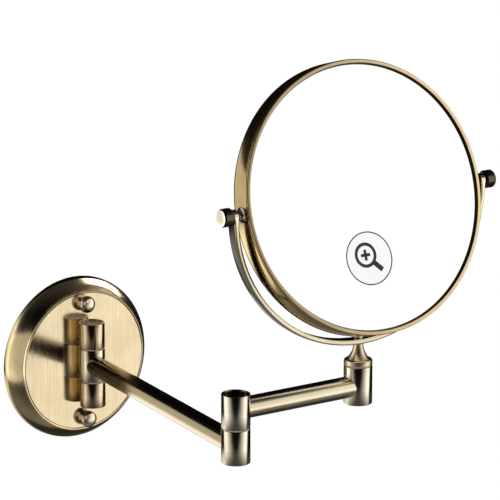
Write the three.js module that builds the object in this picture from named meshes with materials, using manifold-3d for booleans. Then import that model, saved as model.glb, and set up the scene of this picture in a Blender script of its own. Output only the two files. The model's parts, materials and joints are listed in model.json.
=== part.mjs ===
// Extendable shaving mirror: a round wall plate, two arms on friction hinges, a swivelling yoke and
// a two-sided mirror that tilts between two knurled knobs.
//
// Units are millimetres. The origin is the middle of the back of the wall bracket, the wall is the
// plane y = 0, the mirror reaches out towards -Y, +X is to the right seen from the room, +Z is up.
import * as THREE from "three";
import { mergeVertices } from "three/addons/utils/BufferGeometryUtils.js";
import Module from "manifold-3d";

const wasm = await Module();
wasm.setup();

// ---------------------------------------------------------------- clearances
const RUN_GAP = 0.1; // between faces that turn on each other
const SEAT_GAP = 0.1; // between pieces that are bolted or pressed face to face
const SADDLE_GAP = 0.3; // between a cut saddle and the barrel it is brazed to
const HOLE_GAP = 0.2; // round a screw or stud in a plain hole

// ---------------------------------------------------------------- rest pose, degrees
const INNER_ARM_TURN = -7.5; // from straight out of the wall, towards +X
const OUTER_ARM_TURN = 87.6; // same reference
const MIRROR_TURN = -4.4; // the front of the yoke, from straight out
const MIRROR_TILT = 16.1; // glass leaned back, looking up

// ---------------------------------------------------------------- wall plate and bracket
const PLATE_DEPTH = 16.2;
const PLATE_SKIRT = 10.5; // width of the rolled skirt round the flat face
const FACE_MARGIN = 1.3; // flat face outside the domed nuts
const PLATE_EDGE = 2; // height of the upright outer edge
const PLATE_WALL = 1.2;
const BRACKET_WIDTH = 22;
const BRACKET_THICKNESS = 2;
const BRACKET_END = 8; // strap beyond the centre of each stud
const WALL_SCREW_OFFSET = 30;
const WALL_SCREW_HOLE = 2.6;
const STUD_CLEARANCE = 6.2; // between the end of the barrel and a domed nut
const STUD_RADIUS = 2;
const STUD_NUT_FLATS = 7;
const STUD_NUT_HEIGHT = 3.2;
const DOME_RADIUS = 7;
const DOME_STEM_RADIUS = 6.4;
const DOME_STEM_HEIGHT = 5;
const DOME_HEIGHT = 9.8;
const DOME_THREAD = 5; // depth of the blind hole

// ---------------------------------------------------------------- barrels and their hardware
const WALL_BARREL_RADIUS = 10.5;
const WALL_BARREL_HEIGHT = 70;
const WALL_KNUCKLE_HEIGHT = 26.8; // the middle knuckle, on the inner arm
const BARREL_RADIUS = 11; // elbow and mirror end
const ELBOW_LOWER_HEIGHT = 26.6;
const ELBOW_UPPER_HEIGHT = 26.2;
const HEAD_BARREL_HEIGHT = 29.9;
const BARREL_WALL = 1.4; // round the wells at the ends
const BARREL_CHAMFER = 0.5;
const PIN_RADIUS = 3;
const PIN_HEAD_RADIUS = 5.5;
const PIN_HEAD_HEIGHT = 4;
const PIN_TIP = 0.5; // thread standing past the nut
const NUT_FLATS = 10;
const NUT_HEIGHT = 4;
const SPRING_RADIUS = 5.6;
const SPRING_THICKNESS = 0.5;
const SPRING_RISE = 0.7;
const WASHER_THICKNESS = 0.6;
const WASHER_INSET = 0.9; // washer edge inside the barrel's outside
const CAP_THICKNESS = 1.2;
const CAP_RECESS = 0.6;
const POST_RADIUS = 4.5;
const POST_LENGTH = 1.3; // gap that the posts bridge between plate and barrel
const POST_SCREW_RADIUS = 2.5;
const POST_SCREW_HEAD_RADIUS = 4.6;
const POST_SCREW_HEAD_HEIGHT = 3;
const POST_SCREW_GRIP = 5.5; // thread inside the knuckle

// ---------------------------------------------------------------- arms
const INNER_ARM_LENGTH = 242; // hinge axis to hinge axis
const OUTER_ARM_LENGTH = 111.9;
const ELBOW_DROP = 0.7; // middle of each elbow knuckle below the centre line of its arm
const HEAD_BARREL_RISE = 1.2; // middle of the end barrel above the centre line of the outer arm
const ARM_RADIUS = 8.3;
const ARM_WALL = 1.2;
const SPIGOT_LENGTH = 14; // plug inside the tube, measured from the barrel

// ---------------------------------------------------------------- neck and yoke
const NECK_HEIGHT = 16.4; // collar and flare together
const COLLAR_RADIUS = 11;
const COLLAR_HEIGHT = 4.6;
const COLLAR_ROUND = 2;
const NECK_BASE_RADIUS = 8.6;
const NECK_TOP_RADIUS = 3.9;
const NECK_CURVE = 2.2; // power of the trumpet flare
const PIN_IN_NECK = 6;
const YOKE_GAP = 5.2; // between the frame and the inside of the yoke
const YOKE_THICKNESS = 4.2;
const YOKE_WIDTH = 10.4;
const YOKE_BEVEL = 1;
const YOKE_SCREW_RADIUS = 2;
const YOKE_SCREW_HEAD_RADIUS = 3.6;
const YOKE_SCREW_HEAD_HEIGHT = 2;
const YOKE_SCREW_GRIP = 7;

// ---------------------------------------------------------------- mirror
const FRAME_RADIUS = 104;
const FRAME_DEPTH = 19.8;
const BAND_THICKNESS = 1.6;
const BEZEL_WIDTH = 4.2; // frame outside to the visible edge of the glass
const BEZEL_FLANGE = 1.3; // flange that laps over the end of the band
const BEZEL_SKIRT = 5; // bezel inside the band, from the front of the frame
const BEZEL_SKIRT_WALL = 1.2;
const BEZEL_GROOVE = 0.4; // dark line between band and bezel
const GLASS_RECESS = 2.5;
const GLASS_LAP = 0.9; // glass hidden behind the bezel
const PLAIN_GLASS_THICKNESS = 3;
const CURVED_GLASS_THICKNESS = 2.6;
const GLASS_CORE_GAP = 0.8; // between the two glasses at the centre
const SPACER_WIDTH = 6.5;
const STICKER_RADIUS = 21;
const STICKER_THICKNESS = 0.15;
const STICKER_DROP = 46; // centre of the sticker below the centre of the glass
const BOSS_BASE_RADIUS = 6;
const BOSS_TOP_RADIUS = 3.6;
const TILT_WASHER_THICKNESS = 1;
const TILT_WASHER_RADIUS = 3.6;
const TILT_SCREW_RADIUS = 2;
const TILT_SCREW_INSIDE = 1.2; // screw end past the inside of the frame's outer face
const KNOB_RADIUS = 7.2;
const KNOB_LENGTH = 9;
const KNOB_CHAMFER = 0.8;
const KNOB_FACE_RADIUS = 6.2;
const KNOB_GRIP = 5; // screw inside the knob

// ---------------------------------------------------------------- worked out from the above
const STUD_OFFSET = WALL_BARREL_HEIGHT / 2 + STUD_CLEARANCE + DOME_RADIUS;
const PLATE_FACE_RADIUS = STUD_OFFSET + DOME_RADIUS + FACE_MARGIN;
const PLATE_RADIUS = PLATE_FACE_RADIUS + PLATE_SKIRT;
const PLATE_INSIDE_DEPTH = PLATE_DEPTH - PLATE_WALL;
const WALL_BARREL_OFFSET = PLATE_DEPTH + POST_LENGTH + WALL_BARREL_RADIUS; // axis from the wall
const CAP_WELL = CAP_RECESS + CAP_THICKNESS;
const HEAD_WELL = CAP_WELL + PIN_HEAD_HEIGHT + 2 * SEAT_GAP;
const SPRING_HEIGHT = SPRING_RISE + SPRING_THICKNESS;
const NUT_WELL = CAP_WELL + PIN_TIP + NUT_HEIGHT + SPRING_HEIGHT + 3 * SEAT_GAP;
const KNUCKLE_GAP = WASHER_THICKNESS + 2 * RUN_GAP; // washer and running gaps between knuckles
const WALL_OUTER_KNUCKLE_HEIGHT = (WALL_BARREL_HEIGHT - WALL_KNUCKLE_HEIGHT) / 2 - KNUCKLE_GAP;
// The posts meet the solid part of the outer knuckles, halfway between washer and well.
const POST_HEIGHT = (WALL_KNUCKLE_HEIGHT / 2 + KNUCKLE_GAP + WALL_BARREL_HEIGHT / 2 - NUT_WELL) / 2;
const ELBOW_LOW = -ELBOW_LOWER_HEIGHT / 2 - ELBOW_DROP; // heights are from the inner arm's centre line
const ELBOW_LOWER_TOP = ELBOW_LOW + ELBOW_LOWER_HEIGHT;
const ELBOW_UPPER_LOW = ELBOW_LOWER_TOP + KNUCKLE_GAP;
const ELBOW_TOP = ELBOW_UPPER_LOW + ELBOW_UPPER_HEIGHT;
const OUTER_ARM_HEIGHT = ELBOW_UPPER_LOW + ELBOW_UPPER_HEIGHT / 2 + ELBOW_DROP;
const HEAD_BARREL_LOW = OUTER_ARM_HEIGHT + HEAD_BARREL_RISE - HEAD_BARREL_HEIGHT / 2;
const HEAD_BARREL_TOP = HEAD_BARREL_LOW + HEAD_BARREL_HEIGHT;
const NECK_LOW = HEAD_BARREL_TOP + KNUCKLE_GAP;
const YOKE_INNER_RADIUS = FRAME_RADIUS + YOKE_GAP;
const YOKE_RADIUS = YOKE_INNER_RADIUS + YOKE_THICKNESS;
const YOKE_LOW = NECK_LOW + NECK_HEIGHT;
const MIRROR_HEIGHT = YOKE_LOW + YOKE_RADIUS; // the knob axis
const GLASS_VIEW_RADIUS = FRAME_RADIUS - BEZEL_WIDTH;
const GLASS_RADIUS = GLASS_VIEW_RADIUS + GLASS_LAP;
const HALF_DEPTH = FRAME_DEPTH / 2;
const GLASS_FRONT = HALF_DEPTH - GLASS_RECESS - SEAT_GAP; // front of either glass at its edge
const PLAIN_GLASS_INNER = GLASS_FRONT - PLAIN_GLASS_THICKNESS;
const CURVE_SAG = GLASS_FRONT - CURVED_GLASS_THICKNESS - GLASS_CORE_GAP + PLAIN_GLASS_INNER;
const CURVE_RADIUS = (GLASS_RADIUS ** 2 + CURVE_SAG ** 2) / (2 * CURVE_SAG);
const BAND_INNER_RADIUS = FRAME_RADIUS - BAND_THICKNESS;

const FINE = 60; // sides of the big rounds
const ROUND = 24; // sides of barrels and tubes
const SMALL = 16; // sides of pins, nuts and screws

// ---------------------------------------------------------------- geometry helpers
const radians = THREE.MathUtils.degToRad;

// A closed mesh as a manifold solid: shared corners merged, flat slivers at the poles dropped.
function solidOf(geometry) {
  const bare = geometry.index ? geometry.toNonIndexed() : geometry.clone();
  bare.deleteAttribute("normal");
  bare.deleteAttribute("uv");
  const merged = mergeVertices(bare, 1e-4);
  const corners = merged.index.array;
  const kept = [];
  for (let i = 0; i < corners.length; i += 3) {
    const [a, b, c] = [corners[i], corners[i + 1], corners[i + 2]];
    if (a !== b && b !== c && c !== a) kept.push(a, b, c);
  }
  const vertProperties = merged.attributes.position.array;
  return new wasm.Manifold(new wasm.Mesh({ numProp: 3, vertProperties, triVerts: new Uint32Array(kept) }));
}

function geometryOf(solid) {
  const mesh = solid.getMesh();
  const geometry = new THREE.BufferGeometry();
  geometry.setAttribute("position", new THREE.BufferAttribute(mesh.vertProperties, mesh.numProp));
  geometry.setIndex(new THREE.BufferAttribute(mesh.triVerts, 1));
  geometry.computeVertexNormals();
  return geometry;
}

function cut(geometry, ...tools) {
  const left = tools.reduce((solid, tool) => solid.subtract(solidOf(tool)), solidOf(geometry));
  return geometryOf(left);
}

function join(geometry, ...others) {
  const whole = others.reduce((solid, other) => solid.add(solidOf(other)), solidOf(geometry));
  return geometryOf(whole);
}

// A turned piece about +Z. The profile is a closed outline of [radius, height] points in either
// direction round; one that touches the axis closes along it.
function turned(outline, sides = ROUND) {
  const points = outline.map(([r, z]) => new THREE.Vector2(r, z));
  if (THREE.ShapeUtils.area(points) < 0) points.reverse();
  const start = points.findIndex((p, i) => p.x === 0 && points.at(i - 1).x === 0);
  const ring = start < 0 ? points : [...points.slice(start), ...points.slice(0, start)];
  if (start < 0) ring.push(ring[0].clone());
  return new THREE.LatheGeometry(ring, sides).rotateX(Math.PI / 2);
}

function disc(radius, low, high, sides = ROUND) {
  return turned([[0, low], [radius, low], [radius, high], [0, high]], sides);
}

function ring(inner, outer, low, high, sides = ROUND) {
  return turned([[inner, low], [outer, low], [outer, high], [inner, high]], sides);
}

// A disc with a chamfer round its upper edge.
function cap(radius, low, high, chamfer, sides = ROUND) {
  return turned([[0, low], [radius, low], [radius, high - chamfer], [radius - chamfer, high], [0, high]], sides);
}

// Turns a piece made about +Z so that its axis points another way.
const towards = {
  up: (geometry) => geometry,
  down: (geometry) => geometry.rotateX(Math.PI),
  front: (geometry) => geometry.rotateX(Math.PI / 2), // -Y, away from the wall
  right: (geometry) => geometry.rotateY(Math.PI / 2),
  left: (geometry) => geometry.rotateY(-Math.PI / 2),
};

function hexNut(flats, bore, low, height) {
  const corner = flats / Math.sqrt(3);
  const shape = new THREE.Shape();
  for (let i = 0; i < 6; i += 1) {
    const angle = (i * Math.PI) / 3;
    shape[i ? "lineTo" : "moveTo"](corner * Math.cos(angle), corner * Math.sin(angle));
  }
  shape.closePath();
  shape.holes.push(new THREE.Path().absarc(0, 0, bore, 0, 2 * Math.PI, true));
  const options = { depth: height, bevelEnabled: false, curveSegments: SMALL / 2 };
  return new THREE.ExtrudeGeometry(shape, options).translate(0, 0, low);
}

// A dished spring washer, its high inner edge up.
function springWasher(bore, low) {
  const top = low + SPRING_RISE;
  return turned([
    [bore, top],
    [SPRING_RADIUS, low],
    [SPRING_RADIUS, low + SPRING_THICKNESS],
    [bore, top + SPRING_THICKNESS],
  ], SMALL);
}

// ---------------------------------------------------------------- finishes
const finishes = {
  brushedBrass: { color: 0xb39a6a, roughness: 0.34, metalness: 1 },
  darkBronze: { color: 0x6b5531, roughness: 0.32, metalness: 1 },
  polishedBrass: { color: 0xd8b878, roughness: 0.16, metalness: 1 },
  steel: { color: 0x9a9c9e, roughness: 0.35, metalness: 1 },
  nylon: { color: 0xe9e6dc, roughness: 0.6, metalness: 0 },
  mirror: { color: 0xf4f6f7, roughness: 0.02, metalness: 1 },
  sticker: { color: 0xdcdedf, roughness: 0.4, metalness: 0 },
};

function add(group, name, geometry, finish) {
  const mesh = new THREE.Mesh(geometry, new THREE.MeshStandardMaterial(finishes[finish]));
  mesh.name = name;
  group.add(mesh);
}

// ---------------------------------------------------------------- wall plate
// Outline of the dished plate, from the wall outwards: an upright edge, one broad convex band, a
// fine groove and a small bead round the flat face.
function plateSkirt() {
  const width = PLATE_RADIUS - PLATE_FACE_RADIUS;
  const rise = PLATE_DEPTH - PLATE_EDGE;
  const at = (across, up) => [PLATE_RADIUS - across * width, PLATE_EDGE + up * rise];
  return [
    at(0, 0),
    at(0.04, 0.2),
    at(0.12, 0.39),
    at(0.24, 0.56),
    at(0.4, 0.71),
    at(0.58, 0.83),
    at(0.76, 0.91),
    at(0.84, 0.92),
    at(0.88, 0.98),
    at(0.94, 1),
  ];
}

function wallPlate() {
  const skirt = plateSkirt();
  const inside = PLATE_RADIUS - PLATE_WALL;
  const insideFace = PLATE_FACE_RADIUS - PLATE_WALL;
  const shell = turned([
    [0, PLATE_DEPTH],
    [PLATE_FACE_RADIUS, PLATE_DEPTH],
    ...skirt.toReversed(),
    [PLATE_RADIUS, 0],
    [inside, 0],
    [inside, PLATE_EDGE],
    [(inside + insideFace) / 2, PLATE_EDGE + (PLATE_INSIDE_DEPTH - PLATE_EDGE) * 0.42],
    [insideFace, PLATE_INSIDE_DEPTH],
    [0, PLATE_INSIDE_DEPTH],
  ], FINE);
  const holes = [STUD_OFFSET, -STUD_OFFSET].map((height) => plateHole(STUD_RADIUS, height));
  const screwHoles = [POST_HEIGHT, -POST_HEIGHT].map((height) => plateHole(POST_SCREW_RADIUS, height));
  return cut(towards.front(shell), ...holes, ...screwHoles);
}

// A cutter through whatever lies off the wall at this height.
function plateHole(radius, height) {
  return towards.front(disc(radius + HOLE_GAP, -1, PLATE_DEPTH + 1, SMALL)).translate(0, 0, height);
}

function wallBracket() {
  const length = 2 * (STUD_OFFSET + BRACKET_END);
  const strap = new THREE.BoxGeometry(BRACKET_WIDTH, BRACKET_THICKNESS, length);
  strap.translate(0, -BRACKET_THICKNESS / 2, 0);
  const holes = [STUD_OFFSET, -STUD_OFFSET].map((height) => plateHole(STUD_RADIUS, height));
  const screws = [WALL_SCREW_OFFSET, -WALL_SCREW_OFFSET].map((height) =>
    towards.front(disc(WALL_SCREW_HOLE, -1, PLATE_DEPTH, SMALL)).translate(0, 0, height),
  );
  return cut(strap, ...holes, ...screws);
}

function domeNut() {
  const round = [];
  const crown = DOME_HEIGHT - DOME_STEM_HEIGHT;
  for (let step = 0; step <= 5; step += 1) {
    const angle = (step / 5) * (Math.PI / 2);
    round.push([DOME_RADIUS * Math.cos(angle), DOME_STEM_HEIGHT + crown * Math.sin(angle)]);
  }
  round[5][0] = 0;
  const bore = STUD_RADIUS + SEAT_GAP;
  return turned([
    [bore, 0],
    [DOME_STEM_RADIUS, 0],
    [DOME_STEM_RADIUS, DOME_STEM_HEIGHT - 0.5],
    [DOME_RADIUS, DOME_STEM_HEIGHT - 0.5],
    ...round,
    [0, DOME_THREAD],
    [bore, DOME_THREAD],
  ], SMALL);
}

// The short standoff between plate and knuckle, hollowed to the knuckle's round.
function post() {
  const length = WALL_BARREL_OFFSET;
  const collar = ring(POST_SCREW_RADIUS + HOLE_GAP, POST_RADIUS, PLATE_DEPTH + SEAT_GAP, length, SMALL);
  const barrel = disc(WALL_BARREL_RADIUS + SEAT_GAP, -POST_RADIUS * 2, POST_RADIUS * 2, ROUND * 2);
  return cut(towards.front(collar), barrel.translate(0, -WALL_BARREL_OFFSET, 0));
}

function postScrewTip() {
  return WALL_BARREL_OFFSET - WALL_BARREL_RADIUS + POST_SCREW_GRIP;
}

function postScrew() {
  const seat = PLATE_INSIDE_DEPTH - SEAT_GAP;
  const low = seat - POST_SCREW_HEAD_HEIGHT;
  return towards.front(turned([
    [0, low],
    [POST_SCREW_HEAD_RADIUS - 1, low],
    [POST_SCREW_HEAD_RADIUS, low + 1],
    [POST_SCREW_HEAD_RADIUS, seat],
    [POST_SCREW_RADIUS, seat],
    [POST_SCREW_RADIUS, postScrewTip() - SEAT_GAP],
    [0, postScrewTip() - SEAT_GAP],
  ], SMALL));
}

// ---------------------------------------------------------------- barrels
// One knuckle of a barrel: bored for the hinge pin, with a wider well at either end if it has one.
function knuckle(radius, low, height, wellBelow = 0, wellAbove = 0) {
  const high = low + height;
  const bore = PIN_RADIUS + RUN_GAP;
  const well = radius - BARREL_WALL;
  const outline = [
    [radius - BARREL_CHAMFER, low],
    [radius, low + BARREL_CHAMFER],
    [radius, high - BARREL_CHAMFER],
    [radius - BARREL_CHAMFER, high],
  ];
  if (wellAbove) outline.push([well, high], [well, high - wellAbove]);
  outline.push([bore, high - wellAbove], [bore, low + wellBelow]);
  if (wellBelow) outline.push([well, low + wellBelow], [well, low]);
  return turned(outline);
}

function endCap(radius) {
  return cap(radius - BARREL_WALL - SEAT_GAP, 0, CAP_THICKNESS, 0.3);
}

function barrelWasher(radius, low) {
  return ring(PIN_RADIUS + RUN_GAP, radius - WASHER_INSET, low + RUN_GAP, low + KNUCKLE_GAP - RUN_GAP);
}

// A hinge bolt with its head in the well at the top and its end just past the nut at the bottom.
function hingeBolt(low, high) {
  const headLow = high - HEAD_WELL + SEAT_GAP;
  const headHigh = headLow + PIN_HEAD_HEIGHT;
  return turned([
    [0, low + CAP_WELL + SEAT_GAP],
    [PIN_RADIUS, low + CAP_WELL + SEAT_GAP],
    [PIN_RADIUS, headLow],
    [PIN_HEAD_RADIUS, headLow],
    [PIN_HEAD_RADIUS, headHigh],
    [0, headHigh],
  ], SMALL);
}

function hingeNut(low) {
  return hexNut(NUT_FLATS, PIN_RADIUS + SEAT_GAP, low + CAP_WELL + PIN_TIP + SEAT_GAP, NUT_HEIGHT);
}

function hingeSpring(low) {
  return springWasher(PIN_RADIUS + HOLE_GAP, low + NUT_WELL - SPRING_HEIGHT - SEAT_GAP);
}

// ---------------------------------------------------------------- arms
// A cutter the size of a barrel, standing where the arm meets it.
function barrelCutter(radius, along) {
  return disc(radius + SADDLE_GAP, -2 * ARM_RADIUS, 2 * ARM_RADIUS, ROUND * 2).translate(along, 0, 0);
}

// The tube of an arm, along +X from one hinge axis to the other, saddled to both barrels.
function armTube(length, startRadius) {
  const tube = towards.right(ring(ARM_RADIUS - ARM_WALL, ARM_RADIUS, 0, length));
  return cut(tube, barrelCutter(startRadius, 0), barrelCutter(BARREL_RADIUS, length));
}

// The plug that joins a tube to a barrel at x = 0.
function armSpigot(barrelRadius) {
  const radius = ARM_RADIUS - ARM_WALL - SEAT_GAP;
  const plug = towards.right(cap(radius, 0, barrelRadius + SPIGOT_LENGTH, 1));
  return cut(plug, barrelCutter(barrelRadius, 0));
}

// ---------------------------------------------------------------- neck and yoke
function swivelNeck() {
  const high = YOKE_LOW - SEAT_GAP;
  const collarTop = NECK_LOW + COLLAR_HEIGHT;
  const outline = [
    [COLLAR_RADIUS - BARREL_CHAMFER, NECK_LOW],
    [COLLAR_RADIUS, NECK_LOW + BARREL_CHAMFER],
    [COLLAR_RADIUS, collarTop - COLLAR_ROUND],
    [COLLAR_RADIUS - 0.3 * COLLAR_ROUND, collarTop - 0.3 * COLLAR_ROUND],
    [COLLAR_RADIUS - COLLAR_ROUND, collarTop],
  ];
  const steps = 6;
  for (let step = 0; step <= steps; step += 1) {
    const rise = step / steps;
    const flare = (1 - rise) ** NECK_CURVE;
    const radius = NECK_TOP_RADIUS + (NECK_BASE_RADIUS - NECK_TOP_RADIUS) * flare;
    outline.push([radius, collarTop + (high - collarTop) * rise]);
  }
  const screwHole = YOKE_SCREW_RADIUS + SEAT_GAP;
  const pinHole = PIN_RADIUS + SEAT_GAP;
  const screwFloor = high - YOKE_SCREW_GRIP;
  outline.push([screwHole, high], [screwHole, screwFloor], [0, screwFloor]);
  outline.push([0, NECK_LOW + PIN_IN_NECK], [pinHole, NECK_LOW + PIN_IN_NECK], [pinHole, NECK_LOW]);
  return turned(outline);
}

// The pin that the neck turns on, screwed into the neck and held in the barrel by a nut.
function swivelPin() {
  const low = HEAD_BARREL_LOW + CAP_WELL + SEAT_GAP;
  const high = NECK_LOW + PIN_IN_NECK - SEAT_GAP;
  return cap(PIN_RADIUS, low, high, 0.4, SMALL);
}

// Half a ring of strip, open at the top, with a round eye at each end for the tilt screws.
function yoke() {
  const bevel = YOKE_BEVEL;
  const shape = new THREE.Shape();
  shape.absarc(0, 0, YOKE_RADIUS - bevel, Math.PI, 2 * Math.PI, false);
  shape.absarc(0, 0, YOKE_INNER_RADIUS + bevel, 2 * Math.PI, Math.PI, true);
  shape.closePath();
  const options = {
    depth: YOKE_WIDTH - 2 * bevel,
    curveSegments: 36,
    bevelEnabled: true,
    bevelSize: bevel,
    bevelThickness: bevel,
    bevelSegments: 1,
  };
  const strip = new THREE.ExtrudeGeometry(shape, options);
  strip.rotateX(Math.PI / 2).translate(0, YOKE_WIDTH / 2 - bevel, 0);
  const eyes = [];
  const bores = [];
  for (const side of ["left", "right"]) {
    eyes.push(towards[side](disc(YOKE_WIDTH / 2, YOKE_INNER_RADIUS, YOKE_RADIUS, SMALL)));
    bores.push(towards[side](disc(TILT_SCREW_RADIUS + RUN_GAP, FRAME_RADIUS, YOKE_RADIUS + 1, SMALL)));
  }
  const screwHole = towards.down(disc(YOKE_SCREW_RADIUS + HOLE_GAP, FRAME_RADIUS, YOKE_RADIUS + 1, SMALL));
  return cut(join(strip, ...eyes), ...bores, screwHole).translate(0, 0, MIRROR_HEIGHT);
}

function yokeScrew() {
  const seat = YOKE_LOW + YOKE_THICKNESS + SADDLE_GAP;
  const high = seat + YOKE_SCREW_HEAD_HEIGHT;
  const low = YOKE_LOW - YOKE_SCREW_GRIP;
  return turned([
    [0, low],
    [YOKE_SCREW_RADIUS, low],
    [YOKE_SCREW_RADIUS, seat],
    [YOKE_SCREW_HEAD_RADIUS, seat],
    [YOKE_SCREW_HEAD_RADIUS, high - 1],
    [YOKE_SCREW_HEAD_RADIUS - 1, high],
    [0, high],
  ], SMALL);
}

// ---------------------------------------------------------------- mirror, turned about its own axis
function rimBand() {
  const half = HALF_DEPTH - BEZEL_FLANGE - BEZEL_GROOVE;
  const edge = 0.5;
  const band = turned([
    [BAND_INNER_RADIUS, -half],
    [FRAME_RADIUS - edge, -half],
    [FRAME_RADIUS, edge - half],
    [FRAME_RADIUS, half - edge],
    [FRAME_RADIUS - edge, half],
    [BAND_INNER_RADIUS, half],
  ], FINE);
  const screwHole = disc(TILT_SCREW_RADIUS + SEAT_GAP, -FRAME_RADIUS - 1, FRAME_RADIUS + 1, SMALL);
  return cut(towards.front(band), towards.right(screwHole));
}

// The bezel: a crowned flange over the end of the band, a step that holds the glass and a skirt
// pressed into the band.
function bezel() {
  const skirtOut = BAND_INNER_RADIUS - SEAT_GAP;
  const skirtIn = skirtOut - BEZEL_SKIRT_WALL;
  const seat = HALF_DEPTH - GLASS_RECESS;
  const lap = FRAME_RADIUS - 0.2;
  const front = HALF_DEPTH;
  return turned([
    [GLASS_VIEW_RADIUS, seat],
    [skirtIn, seat],
    [skirtIn, front - BEZEL_SKIRT],
    [skirtOut, front - BEZEL_SKIRT],
    [skirtOut, front - BEZEL_FLANGE],
    [lap, front - BEZEL_FLANGE],
    [lap, front - 0.7],
    [lap - 0.8, front - 0.1],
    [lap - 2, front],
    [GLASS_VIEW_RADIUS + 0.8, front - 0.2],
    [GLASS_VIEW_RADIUS, front - 0.9],
  ], FINE);
}

// Height of the concave surface at a distance from the mirror's axis.
function curveHeight(radius) {
  return GLASS_FRONT - CURVE_SAG + CURVE_RADIUS - Math.sqrt(CURVE_RADIUS ** 2 - radius ** 2);
}

function curvedGlass() {
  const steps = 5;
  const front = [];
  for (let step = 0; step <= steps; step += 1) {
    const radius = (GLASS_RADIUS * step) / steps;
    front.push([radius, curveHeight(radius)]);
  }
  const back = front.toReversed().map(([radius, height]) => [radius, height - CURVED_GLASS_THICKNESS]);
  return turned([...front, ...back], FINE);
}

// The ring that keeps the two glasses apart.
function spacer() {
  const inner = GLASS_RADIUS - SPACER_WIDTH;
  const high = curveHeight(inner) - CURVED_GLASS_THICKNESS - SEAT_GAP;
  return ring(inner, GLASS_RADIUS, SEAT_GAP - PLAIN_GLASS_INNER, high, FINE);
}

// A thin round sticker that follows the hollow of the magnifying glass, below its centre.
function sticker() {
  const centre = curveHeight(0) + CURVE_RADIUS; // centre of the sphere, on the mirror's axis
  const outer = CURVE_RADIUS - SADDLE_GAP; // clear of the glass's flat facets
  const inner = outer - STICKER_THICKNESS;
  const at = (sphere, radius) => [radius, -Math.sqrt(sphere ** 2 - radius ** 2)];
  const radii = [0, 1 / 3, 2 / 3, 1].map((share) => share * STICKER_RADIUS);
  const below = radii.map((radius) => at(outer, radius));
  const above = radii.toReversed().map((radius) => at(inner, radius));
  const swing = Math.asin(STICKER_DROP / CURVE_RADIUS);
  const piece = turned([...below, ...above]);
  return towards.front(piece.rotateX(-swing).translate(0, 0, centre));
}

function boss() {
  const base = FRAME_RADIUS + SEAT_GAP;
  const top = YOKE_INNER_RADIUS - TILT_WASHER_THICKNESS - 3 * RUN_GAP;
  const bore = TILT_SCREW_RADIUS + SEAT_GAP;
  return turned([
    [bore, base],
    [BOSS_BASE_RADIUS, base],
    [BOSS_BASE_RADIUS, base + 0.8],
    [BOSS_TOP_RADIUS + 0.6, top - 1.2],
    [BOSS_TOP_RADIUS, top],
    [bore, top],
  ], SMALL);
}

function tiltWasher() {
  const high = YOKE_INNER_RADIUS - 2 * RUN_GAP;
  const bore = TILT_SCREW_RADIUS + RUN_GAP;
  return ring(bore, TILT_WASHER_RADIUS, high - TILT_WASHER_THICKNESS, high, SMALL);
}

function knobLow() {
  return YOKE_RADIUS + 2 * RUN_GAP;
}

function tiltScrew() {
  return cap(TILT_SCREW_RADIUS, FRAME_RADIUS - TILT_SCREW_INSIDE, knobLow() + KNOB_GRIP - SEAT_GAP, 0.3, SMALL);
}

function knob() {
  const low = knobLow();
  const high = low + KNOB_LENGTH;
  const bore = TILT_SCREW_RADIUS + SEAT_GAP;
  return turned([
    [bore, low],
    [KNOB_RADIUS - KNOB_CHAMFER, low],
    [KNOB_RADIUS, low + KNOB_CHAMFER],
    [KNOB_RADIUS, high - KNOB_CHAMFER - 0.5],
    [KNOB_FACE_RADIUS, high - 0.5],
    [KNOB_FACE_RADIUS * 0.7, high - 0.1],
    [0, high],
    [0, low + KNOB_GRIP],
    [bore, low + KNOB_GRIP],
  ]);
}

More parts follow.
